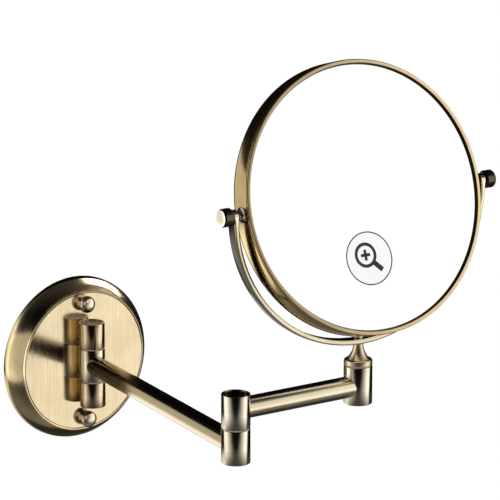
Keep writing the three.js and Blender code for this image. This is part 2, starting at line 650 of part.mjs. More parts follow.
// ---------------------------------------------------------------- assembly
function wallGroup() {
  const group = new THREE.Group();
  const half = WALL_BARREL_HEIGHT / 2;
  add(group, "wall_bracket", wallBracket(), "steel");
  add(group, "wall_plate", wallPlate(), "brushedBrass");
  for (const [side, sign] of [["top", 1], ["bottom", -1]]) {
    const stud = disc(STUD_RADIUS, SEAT_GAP, PLATE_DEPTH + DOME_THREAD, SMALL);
    const nut = hexNut(STUD_NUT_FLATS, STUD_RADIUS + SEAT_GAP, BRACKET_THICKNESS + SEAT_GAP, STUD_NUT_HEIGHT);
    const dome = domeNut().translate(0, 0, PLATE_DEPTH + SEAT_GAP);
    add(group, `bracket_stud_${side}`, towards.front(stud).translate(0, 0, sign * STUD_OFFSET), "steel");
    add(group, `stud_nut_${side}`, towards.front(nut).translate(0, 0, sign * STUD_OFFSET), "steel");
    add(group, `dome_nut_${side}`, towards.front(dome).translate(0, 0, sign * STUD_OFFSET), "polishedBrass");
    add(group, `post_${side}`, post().translate(0, 0, sign * POST_HEIGHT), "darkBronze");
    add(group, `post_screw_${side}`, postScrew().translate(0, 0, sign * POST_HEIGHT), "steel");
  }
  const barrel = new THREE.Group();
  barrel.position.set(0, -WALL_BARREL_OFFSET, 0);
  const threads = (sign) =>
    towards
      .front(disc(POST_SCREW_RADIUS + SEAT_GAP, 0, postScrewTip(), SMALL))
      .translate(0, WALL_BARREL_OFFSET, sign * POST_HEIGHT);
  const topLow = half - WALL_OUTER_KNUCKLE_HEIGHT;
  const top = knuckle(WALL_BARREL_RADIUS, topLow, WALL_OUTER_KNUCKLE_HEIGHT, 0, HEAD_WELL);
  const bottom = knuckle(WALL_BARREL_RADIUS, -half, WALL_OUTER_KNUCKLE_HEIGHT, NUT_WELL, 0);
  add(barrel, "wall_knuckle_top", cut(top, threads(1)), "brushedBrass");
  add(barrel, "wall_knuckle_bottom", cut(bottom, threads(-1)), "brushedBrass");
  add(barrel, "wall_hinge_bolt", hingeBolt(-half, half), "steel");
  add(barrel, "wall_hinge_nut", hingeNut(-half), "steel");
  add(barrel, "wall_hinge_spring", hingeSpring(-half), "steel");
  const washerLow = WALL_KNUCKLE_HEIGHT / 2;
  add(barrel, "wall_washer_top", barrelWasher(WALL_BARREL_RADIUS, washerLow), "nylon");
  add(barrel, "wall_washer_bottom", barrelWasher(WALL_BARREL_RADIUS, -washerLow - KNUCKLE_GAP), "nylon");
  const capTop = endCap(WALL_BARREL_RADIUS).translate(0, 0, half - CAP_WELL);
  const capBottom = towards.down(endCap(WALL_BARREL_RADIUS)).translate(0, 0, CAP_WELL - half);
  add(barrel, "wall_cap_top", capTop, "darkBronze");
  add(barrel, "wall_cap_bottom", capBottom, "darkBronze");
  group.add(barrel);
  return group;
}

function innerArmGroup() {
  const group = new THREE.Group();
  const middle = knuckle(WALL_BARREL_RADIUS, -WALL_KNUCKLE_HEIGHT / 2, WALL_KNUCKLE_HEIGHT);
  add(group, "wall_knuckle_middle", middle, "brushedBrass");
  add(group, "inner_arm_tube", armTube(INNER_ARM_LENGTH, WALL_BARREL_RADIUS), "darkBronze");
  add(group, "inner_spigot_wall", armSpigot(WALL_BARREL_RADIUS), "steel");
  const far = armSpigot(BARREL_RADIUS).rotateZ(Math.PI).translate(INNER_ARM_LENGTH, 0, 0);
  add(group, "inner_spigot_elbow", far, "steel");
  const elbow = new THREE.Group();
  elbow.position.set(INNER_ARM_LENGTH, 0, 0);
  const lower = knuckle(BARREL_RADIUS, ELBOW_LOW, ELBOW_LOWER_HEIGHT, NUT_WELL, 0);
  add(elbow, "elbow_knuckle_lower", lower, "brushedBrass");
  add(elbow, "elbow_bolt", hingeBolt(ELBOW_LOW, ELBOW_TOP), "steel");
  add(elbow, "elbow_nut", hingeNut(ELBOW_LOW), "steel");
  add(elbow, "elbow_spring", hingeSpring(ELBOW_LOW), "steel");
  add(elbow, "elbow_washer", barrelWasher(BARREL_RADIUS, ELBOW_LOWER_TOP), "nylon");
  const bottomCap = towards.down(endCap(BARREL_RADIUS)).translate(0, 0, ELBOW_LOW + CAP_WELL);
  add(elbow, "elbow_cap_bottom", bottomCap, "darkBronze");
  group.add(elbow);
  return group;
}

function outerArmGroup() {
  const group = new THREE.Group();
  const upper = knuckle(BARREL_RADIUS, ELBOW_UPPER_LOW, ELBOW_UPPER_HEIGHT, 0, HEAD_WELL);
  add(group, "elbow_knuckle_upper", upper, "brushedBrass");
  add(group, "elbow_cap_top", endCap(BARREL_RADIUS).translate(0, 0, ELBOW_TOP - CAP_WELL), "darkBronze");
  const raise = (geometry) => geometry.translate(0, 0, OUTER_ARM_HEIGHT);
  add(group, "outer_arm_tube", raise(armTube(OUTER_ARM_LENGTH, BARREL_RADIUS)), "darkBronze");
  add(group, "outer_spigot_elbow", raise(armSpigot(BARREL_RADIUS)), "steel");
  const far = armSpigot(BARREL_RADIUS).rotateZ(Math.PI).translate(OUTER_ARM_LENGTH, 0, 0);
  add(group, "outer_spigot_head", raise(far), "steel");
  const head = new THREE.Group();
  head.position.set(OUTER_ARM_LENGTH, 0, 0);
  const barrel = knuckle(BARREL_RADIUS, HEAD_BARREL_LOW, HEAD_BARREL_HEIGHT, NUT_WELL, 0);
  add(head, "head_barrel", barrel, "brushedBrass");
  const bottomCap = towards.down(endCap(BARREL_RADIUS)).translate(0, 0, HEAD_BARREL_LOW + CAP_WELL);
  add(head, "head_cap_bottom", bottomCap, "darkBronze");
  group.add(head);
  return group;
}

function yokeGroup() {
  const group = new THREE.Group();
  add(group, "swivel_neck", swivelNeck(), "polishedBrass");
  add(group, "swivel_washer", barrelWasher(BARREL_RADIUS, HEAD_BARREL_TOP), "nylon");
  add(group, "swivel_pin", swivelPin(), "steel");
  add(group, "swivel_nut", hingeNut(HEAD_BARREL_LOW), "steel");
  add(group, "swivel_spring", hingeSpring(HEAD_BARREL_LOW), "steel");
  add(group, "yoke", yoke(), "polishedBrass");
  add(group, "yoke_screw", yokeScrew(), "polishedBrass");
  for (const side of ["left", "right"]) {
    const washer = towards[side](tiltWasher()).translate(0, 0, MIRROR_HEIGHT);
    add(group, `tilt_washer_${side}`, washer, "nylon");
  }
  return group;
}

function mirrorGroup() {
  const group = new THREE.Group();
  const plain = disc(GLASS_RADIUS, -GLASS_FRONT, -PLAIN_GLASS_INNER, FINE);
  add(group, "rim_band", rimBand(), "brushedBrass");
  add(group, "bezel_front", towards.front(bezel()), "polishedBrass");
  add(group, "bezel_back", towards.front(towards.down(bezel())), "polishedBrass");
  add(group, "magnifying_glass", towards.front(curvedGlass()), "mirror");
  add(group, "plain_glass", towards.front(plain), "mirror");
  add(group, "glass_spacer", towards.front(spacer()), "nylon");
  add(group, "magnifier_sticker", sticker(), "sticker");
  for (const side of ["left", "right"]) {
    add(group, `pivot_boss_${side}`, towards[side](boss()), "polishedBrass");
    add(group, `tilt_screw_${side}`, towards[side](tiltScrew()), "steel");
    add(group, `knob_${side}`, towards[side](knob()), "darkBronze");
  }
  return group;
}

const TOWARDS_ROOM = -90; // an arm lies along its own +X, so this turns it straight off the wall

const root = new THREE.Group();
root.add(wallGroup());

const innerArm = innerArmGroup();
innerArm.position.set(0, -WALL_BARREL_OFFSET, 0);
innerArm.rotation.z = radians(TOWARDS_ROOM + INNER_ARM_TURN);
root.add(innerArm);

const outerArm = outerArmGroup();
outerArm.position.set(INNER_ARM_LENGTH, 0, 0);
outerArm.rotation.z = radians(OUTER_ARM_TURN - INNER_ARM_TURN);
innerArm.add(outerArm);

const head = yokeGroup();
head.position.set(OUTER_ARM_LENGTH, 0, 0);
head.rotation.z = radians(MIRROR_TURN - OUTER_ARM_TURN - TOWARDS_ROOM);
outerArm.add(head);

const mirror = mirrorGroup();
mirror.position.set(0, 0, MIRROR_HEIGHT);
mirror.rotation.x = radians(-MIRROR_TILT);
head.add(mirror);

export default root;
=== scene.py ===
"""Looks of the extendable shaving mirror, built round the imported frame.

A dished wall plate, a three-knuckle wall barrel, two arms with an elbow, a swivelling neck with a
half-ring yoke, and a two-sided mirror that tilts between knurled knobs. Lengths are in metres, the
wall is the plane y = 0, the mirror reaches out towards -Y and +Z is up.
"""
from __future__ import annotations

import json
import logging
import math
from collections.abc import Callable, Sequence
from dataclasses import dataclass, field
from enum import Enum

import bpy
from mathutils import Matrix, Vector

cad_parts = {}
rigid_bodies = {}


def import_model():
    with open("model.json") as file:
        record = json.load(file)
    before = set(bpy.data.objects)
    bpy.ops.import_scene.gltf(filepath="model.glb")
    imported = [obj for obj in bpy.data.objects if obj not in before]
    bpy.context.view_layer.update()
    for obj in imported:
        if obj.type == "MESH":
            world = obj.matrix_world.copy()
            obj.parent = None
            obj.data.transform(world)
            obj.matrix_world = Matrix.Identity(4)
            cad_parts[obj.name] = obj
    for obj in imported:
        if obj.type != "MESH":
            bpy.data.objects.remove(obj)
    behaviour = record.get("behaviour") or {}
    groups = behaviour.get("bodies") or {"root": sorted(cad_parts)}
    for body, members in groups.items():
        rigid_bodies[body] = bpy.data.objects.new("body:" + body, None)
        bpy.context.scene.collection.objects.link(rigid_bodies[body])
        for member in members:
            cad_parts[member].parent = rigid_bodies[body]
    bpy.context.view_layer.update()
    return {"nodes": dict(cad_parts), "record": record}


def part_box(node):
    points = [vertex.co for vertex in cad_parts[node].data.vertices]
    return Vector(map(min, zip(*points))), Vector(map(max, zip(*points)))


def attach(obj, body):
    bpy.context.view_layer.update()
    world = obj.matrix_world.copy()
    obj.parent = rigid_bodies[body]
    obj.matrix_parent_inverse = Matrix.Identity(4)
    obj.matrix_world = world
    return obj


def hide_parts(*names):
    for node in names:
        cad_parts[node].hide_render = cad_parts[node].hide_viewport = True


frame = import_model()

log = logging.getLogger("shaving_mirror")
MM = 0.001

Point = tuple[float, float]
Colour = tuple[float, float, float]
Triple = tuple[float, float, float]  # a place, a size or a set of angles


class Body(Enum):
    """The rigid bodies of the mirror, as the frame names them."""

    WALL = "wall"
    INNER_ARM = "inner_arm"
    OUTER_ARM = "outer_arm"
    YOKE = "yoke"
    MIRROR = "mirror"


class Axis(Enum):
    """Which way a piece modelled about +Z is laid before it is put in its place."""

    UP = "up"
    DOWN = "down"
    FRONT = "front"
    BACK = "back"
    RIGHT = "right"
    LEFT = "left"

    def matrix(self) -> Matrix:
        """Makes the turn that carries +Z onto this axis.

        Returns:
            The turn as a matrix.
        """
        quarter = math.pi / 2
        turns = {
            Axis.UP: Matrix.Identity(4),
            Axis.DOWN: Matrix.Rotation(math.pi, 4, "X"),
            Axis.FRONT: Matrix.Rotation(quarter, 4, "X"),
            Axis.BACK: Matrix.Rotation(-quarter, 4, "X"),
            Axis.RIGHT: Matrix.Rotation(quarter, 4, "Y"),
            Axis.LEFT: Matrix.Rotation(-quarter, 4, "Y"),
        }
        return turns[self]


# ---------------------------------------------------------------------------- places in the frame
def joint_place(name: str) -> Vector:
    """Finds the position of a joint, in metres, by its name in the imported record."""
    joint = next(j for j in frame["record"]["behaviour"]["joints"] if j["name"] == name)
    return Vector(joint["pos_m"])


def facing(start: Vector, end: Vector) -> float:
    """Measures the angle from +X to a level line, seen from above, in radians."""
    step = end - start
    return math.atan2(step.y, step.x)


WALL_HINGE = joint_place("wall_swing")
ELBOW_HINGE = joint_place("elbow_fold")
HEAD_HINGE = joint_place("head_swivel")
KNOB_AXIS = joint_place("mirror_tilt")
INNER_HEADING = facing(WALL_HINGE, ELBOW_HINGE)
OUTER_HEADING = facing(ELBOW_HINGE, HEAD_HINGE)
MIRROR_TURN = math.radians(-4.4)  # heading of the knob axis from +X
MIRROR_LEAN = math.radians(16.1)  # glass leaned back at rest


def upright(place: Vector, heading: float = 0.0) -> Matrix:
    """Makes the frame of an upright hinge, with its +X turned by the heading, in radians."""
    return Matrix.Translation(place) @ Matrix.Rotation(heading, 4, "Z")


YOKE_PLACE = upright(KNOB_AXIS, MIRROR_TURN)
MIRROR_PLACE = YOKE_PLACE @ Matrix.Rotation(-MIRROR_LEAN, 4, "X")


# ---------------------------------------------------------------------------- modelling, as by hand
def clear_selection() -> None:
    """Leaves edit mode and deselects everything."""
    if bpy.context.object and bpy.context.object.mode != "OBJECT":
        bpy.ops.object.mode_set(mode="OBJECT")
    bpy.ops.object.select_all(action="DESELECT")


def take_up(piece: bpy.types.Object) -> None:
    """Makes one piece the only selected and active one.

    Args:
        piece: The object to work on.
    """
    clear_selection()
    piece.select_set(True)
    bpy.context.view_layer.objects.active = piece


def edit(piece: bpy.types.Object, domain: str = "VERT") -> None:
    """Opens a piece in edit mode with nothing selected.

    Args:
        piece: The object to edit.
        domain: What is selected by, VERT, EDGE or FACE.
    """
    take_up(piece)
    bpy.ops.object.mode_set(mode="EDIT")
    bpy.ops.mesh.select_mode(type=domain)
    bpy.ops.mesh.select_all(action="DESELECT")


def select_vertices(piece: bpy.types.Object, wanted: Callable[[Vector], bool]) -> None:
    """Selects a piece's vertices by their place, and leaves it in edit mode.

    Args:
        piece: The object, in any mode.
        wanted: Says of a vertex's place whether it is selected.
    """
    edit(piece)
    bpy.ops.object.mode_set(mode="OBJECT")
    for vertex in piece.data.vertices:
        vertex.select = wanted(vertex.co)
    bpy.ops.object.mode_set(mode="EDIT")


def select_faces(piece: bpy.types.Object, wanted: Callable[[bpy.types.MeshPolygon], bool]) -> None:
    """Selects a piece's faces by their place or normal, and leaves it in edit mode.

    Args:
        piece: The object, in any mode.
        wanted: Says of a face whether it is selected.
    """
    edit(piece, "FACE")
    bpy.ops.object.mode_set(mode="OBJECT")
    for face in piece.data.polygons:
        face.select = wanted(face)
    bpy.ops.object.mode_set(mode="EDIT")


def tidy_mesh(piece: bpy.types.Object, merge: float = 1e-6) -> None:
    """Merges doubled vertices and turns every face outwards.

    Args:
        piece: The closed piece.
        merge: Distance within which vertices become one.
    """
    edit(piece)
    bpy.ops.mesh.select_all(action="SELECT")
    bpy.ops.mesh.remove_doubles(threshold=merge)
    bpy.ops.mesh.normals_make_consistent(inside=False)
    bpy.ops.object.mode_set(mode="OBJECT")


def smooth(piece: bpy.types.Object, crease: float = 32.0) -> None:
    """Shades a piece smooth, up to a crease angle in degrees."""
    take_up(piece)
    bpy.ops.object.shade_smooth_by_angle(angle=math.radians(crease))


def put(piece: bpy.types.Object, place: Matrix) -> bpy.types.Object:
    """Moves a finished piece to its place and writes the place into its mesh.

    Args:
        piece: The piece, modelled about its own origin.
        place: Its frame on the mirror.

    Returns:
        The same piece.
    """
    take_up(piece)
    piece.matrix_world = place @ piece.matrix_world
    bpy.ops.object.transform_apply(location=True, rotation=True, scale=True)
    return piece


def bevel(piece: bpy.types.Object, width: float, steps: int = 2, angle: float = 40.0) -> None:
    """Rounds a piece's sharp edges with an applied Bevel modifier.

    Args:
        piece: The piece.
        width: Width of the rounding.
        steps: Faces across it.
        angle: Edges sharper than this are rounded, in degrees.
    """
    take_up(piece)
    modifier = piece.modifiers.new("edge", "BEVEL")
    modifier.width = width
    modifier.segments = steps
    modifier.limit_method = "ANGLE"
    modifier.angle_limit = math.radians(angle)
    modifier.use_clamp_overlap = True
    bpy.ops.object.modifier_apply(modifier=modifier.name)


def carve(piece: bpy.types.Object, tool: bpy.types.Object, how: str = "DIFFERENCE") -> None:
    """Cuts or joins one solid with another, which is used up.

    Args:
        piece: The solid that stays.
        tool: The solid that is used up.
        how: DIFFERENCE, UNION or INTERSECT.
    """
    take_up(piece)
    modifier = piece.modifiers.new("carve", "BOOLEAN")
    modifier.operation = how
    modifier.solver = "EXACT"
    modifier.object = tool
    bpy.ops.object.modifier_apply(modifier=modifier.name)
    bpy.data.objects.remove(tool, do_unlink=True)


def circle(name: str, radius: float, height: float, sides: int) -> bpy.types.Object:
    """Adds the ring of edges that a turned piece starts from.

    Args:
        name: Name of the new object.
        radius: Radius of the ring.
        height: Height of the ring.
        sides: Number of its vertices.

    Returns:
        The new object.
    """
    clear_selection()
    bpy.ops.mesh.primitive_circle_add(vertices=sides, radius=radius, location=(0, 0, height))
    piece = bpy.context.object
    piece.name = name
    bpy.ops.object.transform_apply(location=True, rotation=True, scale=True)
    return piece


def turn(name: str, outline: Sequence[Point], sides: int = 96, crease: float = 32.0) -> bpy.types.Object:
    """Models a turned piece about +Z by extruding and scaling a ring of edges along its outline.

    Args:
        name: Name of the piece.
        outline: Points of (radius, height) in metres. An outline that starts and ends on the axis
            is closed by its poles, and any other is closed on itself.
        sides: Faces round the axis.
        crease: Sharpest angle shaded smooth, in degrees.

    Returns:
        The closed piece.
    """
    solid = outline[0][0] == 0.0
    points = [p for p in outline if p[0] > 0.0]
    piece = circle(name, points[0][0], points[0][1], sides)
    edit(piece)
    bpy.ops.mesh.select_all(action="SELECT")
    for (was_radius, was_height), (radius, height) in zip(points, points[1:]):
        bpy.ops.mesh.extrude_region()
        if height != was_height:
            bpy.ops.transform.translate(value=(0, 0, height - was_height))
        scale = radius / was_radius
        if scale != 1.0:
            bpy.ops.transform.resize(value=(scale, scale, 1), center_override=(0, 0, height))
    if solid:
        close_pole(outline[-1][1])
    ends = points[:1] if solid else [points[0], points[-1]]
    near = 1e-7
    select_vertices(
        piece,
        lambda co: any(abs(co.z - z) < near and abs(co.xy.length - r) < near for r, z in ends),
    )
    if solid:
        close_pole(outline[0][1])
    else:
        bpy.ops.mesh.bridge_edge_loops()
    tidy_mesh(piece)
    smooth(piece, crease)
    return piece


def close_pole(height: float) -> None:
    """Closes the selected ring of edges with a fan that meets on the axis.

    Args:
        height: Height of the pole.
    """
    bpy.ops.mesh.extrude_region()
    bpy.ops.mesh.merge(type="CENTER")
    bpy.ops.object.mode_set(mode="OBJECT")
    data = bpy.context.object.data
    for vertex in data.vertices:
        if vertex.select:
            vertex.co = (0.0, 0.0, height)
    bpy.ops.object.mode_set(mode="EDIT")


def arc(centre: Point, radius: float, start: float, end: float, steps: int = 4) -> list[Point]:
    """Lists the points of a round stretch of an outline.

    Args:
        centre: Centre of the round, as (radius, height).
        radius: Its radius.
        start: Angle of the first point, in degrees from the outward direction.
        end: Angle of the last point.
        steps: Stretches between points.

    Returns:
        The points in order.
    """
    points = []
    for step in range(steps + 1):
        angle = math.radians(start + (end - start) * step / steps)
        points.append((centre[0] + radius * math.cos(angle), centre[1] + radius * math.sin(angle)))
    return points


def lay_out(name: str, outline: Sequence[Point], sides: int, axis: Axis, place: Matrix) -> bpy.types.Object:
    """Turns a piece, lays its axis the given way and puts it in its place in a frame."""
    return put(turn(name, outline, sides), place @ axis.matrix())


def heights(node: str) -> Point:
    """Gives the lowest and the highest z of a frame node, in metres."""
    low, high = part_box(node)
    return low.z, high.z


# ---------------------------------------------------------------------------- finishes
class Graph:
    """A material's node tree, with short calls that add nodes and join them."""

    def __init__(self, name: str) -> None:
        """Starts an empty surface.

        Args:
            name: Name of the material.
        """
        self.material = bpy.data.materials.new(name)
        self.material.use_nodes = True
        self.tree = self.material.node_tree
        self.tree.nodes.clear()
        self.output = self.add("ShaderNodeOutputMaterial")
        self.shader = self.add("ShaderNodeBsdfPrincipled")
        self.join(self.shader, "BSDF", self.output, "Surface")

    def add(self, kind: str, **settings: object) -> bpy.types.Node:
        """Adds a node.

        Args:
            kind: The node's type.
            settings: Its properties.

        Returns:
            The node.
        """
        node = self.tree.nodes.new(kind)
        for key, value in settings.items():
            setattr(node, key, value)
        return node

    def join(self, source: bpy.types.Node, out: str, target: bpy.types.Node, into: str | int) -> None:
        """Links a named output of one node to an input of another."""
        self.tree.links.new(source.outputs[out], target.inputs[into])

    def place(self, turn_by: Triple, stretch: Triple) -> bpy.types.Node:
        """Adds object coordinates, turned and then stretched.

        Args:
            turn_by: Turn about each axis, in radians.
            stretch: Scale along each turned axis, per metre.

        Returns:
            The last Mapping node.
        """
        where = self.add("ShaderNodeTexCoord")
        turned = self.add("ShaderNodeMapping")
        turned.inputs["Rotation"].default_value = turn_by
        scaled = self.add("ShaderNodeMapping")
        scaled.inputs["Scale"].default_value = stretch
        self.join(where, "Object", turned, "Vector")
        self.join(turned, "Vector", scaled, "Vector")
        return scaled

    def noise(self, where: bpy.types.Node, scale: float, detail: float, rough: float = 0.6) -> bpy.types.Node:
        """Adds a noise texture.

        Args:
            where: The Mapping node it reads.
            scale: Its scale.
            detail: Its octaves.
            rough: Weight of the finer octaves.

        Returns:
            The texture node.
        """
        node = self.add("ShaderNodeTexNoise")
        node.inputs["Scale"].default_value = scale
        node.inputs["Detail"].default_value = detail
        node.inputs["Roughness"].default_value = rough
        self.join(where, "Vector", node, "Vector")
        return node

    def spread(self, source: bpy.types.Node, out: str, low: Point, high: Point) -> bpy.types.Node:
        """Maps a value from one range to another.

        Args:
            source: Node that gives the value.
            out: Name of its output.
            low: (value, result) at the low end.
            high: (value, result) at the high end.

        Returns:
            The Map Range node.
        """
        node = self.add("ShaderNodeMapRange", clamp=True)
        node.inputs["From Min"].default_value = low[0]
        node.inputs["To Min"].default_value = low[1]
        node.inputs["From Max"].default_value = high[0]
        node.inputs["To Max"].default_value = high[1]
        self.join(source, out, node, "Value")
        return node

    def blend(
        self, factor: bpy.types.Node, out: str, first: Colour | bpy.types.Node, second: Colour
    ) -> bpy.types.Node:
        """Mixes two colours.

        Args:
            factor: Node that gives how much of the second colour shows.
            out: Name of its output.
            first: A colour, or another Mix node.
            second: A colour.

        Returns:
            The Mix node, whose colour is its output "Result".
        """
        node = self.add("ShaderNodeMix", data_type="RGBA")
        self.join(factor, out, node, "Factor")
        if isinstance(first, bpy.types.Node):
            self.tree.links.new(first.outputs[2], node.inputs[6])
        else:
            node.inputs[6].default_value = (*first, 1.0)
        node.inputs[7].default_value = (*second, 1.0)
        return node

    def bump(self, height: bpy.types.Node, out: str, strength: float, depth: float) -> bpy.types.Node:
        """Joins a bump to the shader.

        Args:
            height: Node that gives the height.
            out: Name of its output.
            strength: Strength of the bump.
            depth: Depth of a full step, in metres.

        Returns:
            The Bump node.
        """
        node = self.add("ShaderNodeBump")
        node.inputs["Strength"].default_value = strength
        node.inputs["Distance"].default_value = depth
        self.join(height, out, node, "Height")
        self.join(node, "Normal", self.shader, "Normal")
        return node


@dataclass(frozen=True)
class Metal:
    """A metal with a brushed grain, a patina that comes and goes, and worn edges."""

    name: str
    bright: Colour
    deep: Colour
    worn: Colour
    gloss: Point  # roughness between the strokes and along them
    grain: Triple = (60.0, 60.0, 2400.0)  # strokes per metre along each axis
    turned: Triple = (0.0, 0.0, 0.0)  # turn of the grain about each axis, in radians
    stroke: float = 0.25  # strength of the grain's bump
    clouds: float = 38.0  # patches of patina per metre
    patina: float = 0.55  # most that the deep colour covers
    depth: float = 0.03 * MM  # of a full stroke

    def material(self) -> bpy.types.Material:
        """Makes the finish's material, once.

        Returns:
            The material.
        """
        if self.name in bpy.data.materials:
            return bpy.data.materials[self.name]
        graph = Graph(self.name)
        graph.shader.inputs["Metallic"].default_value = 1.0
        graph.shader.inputs["IOR"].default_value = 1.5
        strokes = graph.noise(graph.place(self.turned, self.grain), 1.0, 5.0, 0.62)
        cloud = graph.noise(graph.place(self.turned, (self.clouds,) * 3), 1.0, 4.0)
        cover = graph.spread(cloud, "Fac", (0.36, 0.0), (0.68, self.patina))
        tone = graph.blend(cover, "Result", self.bright, self.deep)
        lines = graph.spread(strokes, "Fac", (0.40, 0.0), (0.66, 0.26))
        lined = graph.blend(lines, "Result", tone, self.deep)
        shape = graph.add("ShaderNodeNewGeometry")
        edges = graph.spread(shape, "Pointiness", (0.52, 0.0), (0.60, 0.75))
        colour = graph.blend(edges, "Result", lined, self.worn)
        graph.tree.links.new(colour.outputs[2], graph.shader.inputs["Base Color"])
        rough = graph.spread(strokes, "Fac", (0.32, self.gloss[0]), (0.7, self.gloss[1]))
        graph.join(rough, "Result", graph.shader, "Roughness")
        graph.bump(strokes, "Fac", self.stroke, self.depth)
        return graph.material


@dataclass(frozen=True)
class Silvering:
    """Silvered glass, or clear film on it: a clean mirror with the faintest haze of handling."""

    name: str
    tint: Colour = (0.985, 0.99, 0.99)
    haze: Colour = (0.965, 0.975, 0.975)

    def material(self) -> bpy.types.Material:
        """Makes the finish's material, once.

        Returns:
            The material.
        """
        if self.name in bpy.data.materials:
            return bpy.data.materials[self.name]
        graph = Graph(self.name)
        graph.shader.inputs["Metallic"].default_value = 1.0
        graph.shader.inputs["Roughness"].default_value = 0.0
        haze = graph.noise(graph.place((0.0, 0.0, 0.0), (22.0, 22.0, 22.0)), 1.0, 3.0)
        cover = graph.spread(haze, "Fac", (0.4, 0.0), (0.9, 0.5))
        tone = graph.blend(cover, "Result", self.tint, self.haze)
        graph.tree.links.new(tone.outputs[2], graph.shader.inputs["Base Color"])
        return graph.material


@dataclass(frozen=True)
class Moulded:
    """Moulded plastic or film with a fine pebble and slight changes of tone."""

    name: str
    light: Colour
    shade: Colour
    gloss: Point = (0.42, 0.6)  # roughness in the pebble's hollows and on its tops
    pebble: float = 2600.0  # grains per metre
    clouds: float = 90.0  # patches of the other tone per metre
    relief: float = 0.15  # strength of the pebble's bump
    depth: float = 0.04 * MM  # of a full grain

    def material(self) -> bpy.types.Material:
        """Makes the finish's material, once.

        Returns:
            The material.
        """
        if self.name in bpy.data.materials:
            return bpy.data.materials[self.name]
        graph = Graph(self.name)
        fine = graph.noise(graph.place((0.0, 0.0, 0.0), (self.pebble,) * 3), 1.0, 2.0)
        broad = graph.noise(graph.place((0.0, 0.0, 0.0), (self.clouds,) * 3), 1.0, 3.0)
        cover = graph.spread(broad, "Fac", (0.35, 0.0), (0.7, 1.0))
        tone = graph.blend(cover, "Result", self.light, self.shade)
        graph.tree.links.new(tone.outputs[2], graph.shader.inputs["Base Color"])
        rough = graph.spread(fine, "Fac", (0.3, self.gloss[0]), (0.7, self.gloss[1]))
        graph.join(rough, "Result", graph.shader, "Roughness")
        graph.bump(fine, "Fac", self.relief, self.depth)
        return graph.material


BRASS = (0.74, 0.60, 0.36)
BRASS_DEEP = (0.36, 0.25, 0.11)
BRASS_WORN = (0.95, 0.84, 0.60)

PLATE_BRASS = Metal(
    "plate_brass", (0.74, 0.61, 0.40), (0.46, 0.35, 0.20), BRASS_WORN, (0.11, 0.20),
    (1500.0, 1500.0, 26.0), stroke=0.16, patina=0.3,
)
SKIRT_BRASS = Metal(
    "skirt_brass", (0.76, 0.61, 0.35), BRASS_DEEP, BRASS_WORN, (0.13, 0.22),
    (70.0, 1600.0, 70.0), stroke=0.16, patina=0.35,
)
BARREL_BRASS = Metal(
    "barrel_brass", (0.82, 0.74, 0.58), (0.44, 0.34, 0.21), BRASS_WORN,
    (0.11, 0.20), stroke=0.14, patina=0.3,
)
WALL_BRASS = Metal(
    "wall_barrel_brass", (0.74, 0.58, 0.37), (0.38, 0.26, 0.13), BRASS_WORN,
    (0.11, 0.20), stroke=0.14, patina=0.3,
)
BEZEL_BRASS = Metal(
    "bezel_brass", (0.70, 0.53, 0.28), (0.34, 0.24, 0.10), (0.78, 0.62, 0.36),
    (0.10, 0.18), stroke=0.05, patina=0.35,
)
POLISHED_BRASS = Metal(
    "polished_brass", (0.80, 0.66, 0.39), (0.46, 0.34, 0.16), (0.97, 0.86, 0.62), (0.06, 0.14),
    stroke=0.05, patina=0.3,
)
NUT_BRASS = Metal(
    "nut_brass", (0.92, 0.76, 0.58), (0.60, 0.44, 0.28), BRASS_WORN, (0.20, 0.28), stroke=0.06, patina=0.3
)
KNOB_BRONZE = Metal(
    "knob_bronze", (0.045, 0.036, 0.025), (0.014, 0.011, 0.008), (0.32, 0.26, 0.18), (0.2, 0.32), stroke=0.1
)
KNOB_FACE_BRASS = Metal(
    "knob_face_brass", (0.92, 0.80, 0.60), BRASS, BRASS_WORN, (0.12, 0.2), stroke=0.06, patina=0.3
)
# Dark bronze deepened to near-black with painted shade: the end caps stand for the dark reflection they
# catch.
CAP_BRONZE_AND_SHADE = Metal(
    "cap_bronze_and_painted_shade", (0.10, 0.075, 0.045), (0.04, 0.03, 0.018), (0.6, 0.5, 0.34), (0.18, 0.3), stroke=0.1
)
# Painted shade: near-black for the brass wall round each glass, standing in for the dark recess.
SHADOW_BRONZE = Metal(
    "shadow_bronze", (0.03, 0.024, 0.016), (0.01, 0.008, 0.006), (0.05, 0.04, 0.03), (0.3, 0.45), stroke=0.1
)
# The arms are one bronze in two copies: the inner arm's is painted darker as painted shade, the outer arm's
# painted lighter as painted light.
INNER_ARM_SHADED_BRONZE = Metal(
    "inner_arm_bronze_painted_shade", (0.25, 0.18, 0.07), (0.11, 0.08, 0.035), (0.60, 0.50, 0.30), (0.12, 0.18),
    (900.0, 40.0, 40.0), (0.0, 0.0, -INNER_HEADING), 0.02,
)
OUTER_ARM_LIT_BRONZE = Metal(
    "outer_arm_bronze_painted_light", (0.72, 0.60, 0.42), (0.36, 0.27, 0.17), BRASS_WORN, (0.17, 0.27),
    (900.0, 40.0, 40.0), (0.0, 0.0, -OUTER_HEADING), 0.02,
)
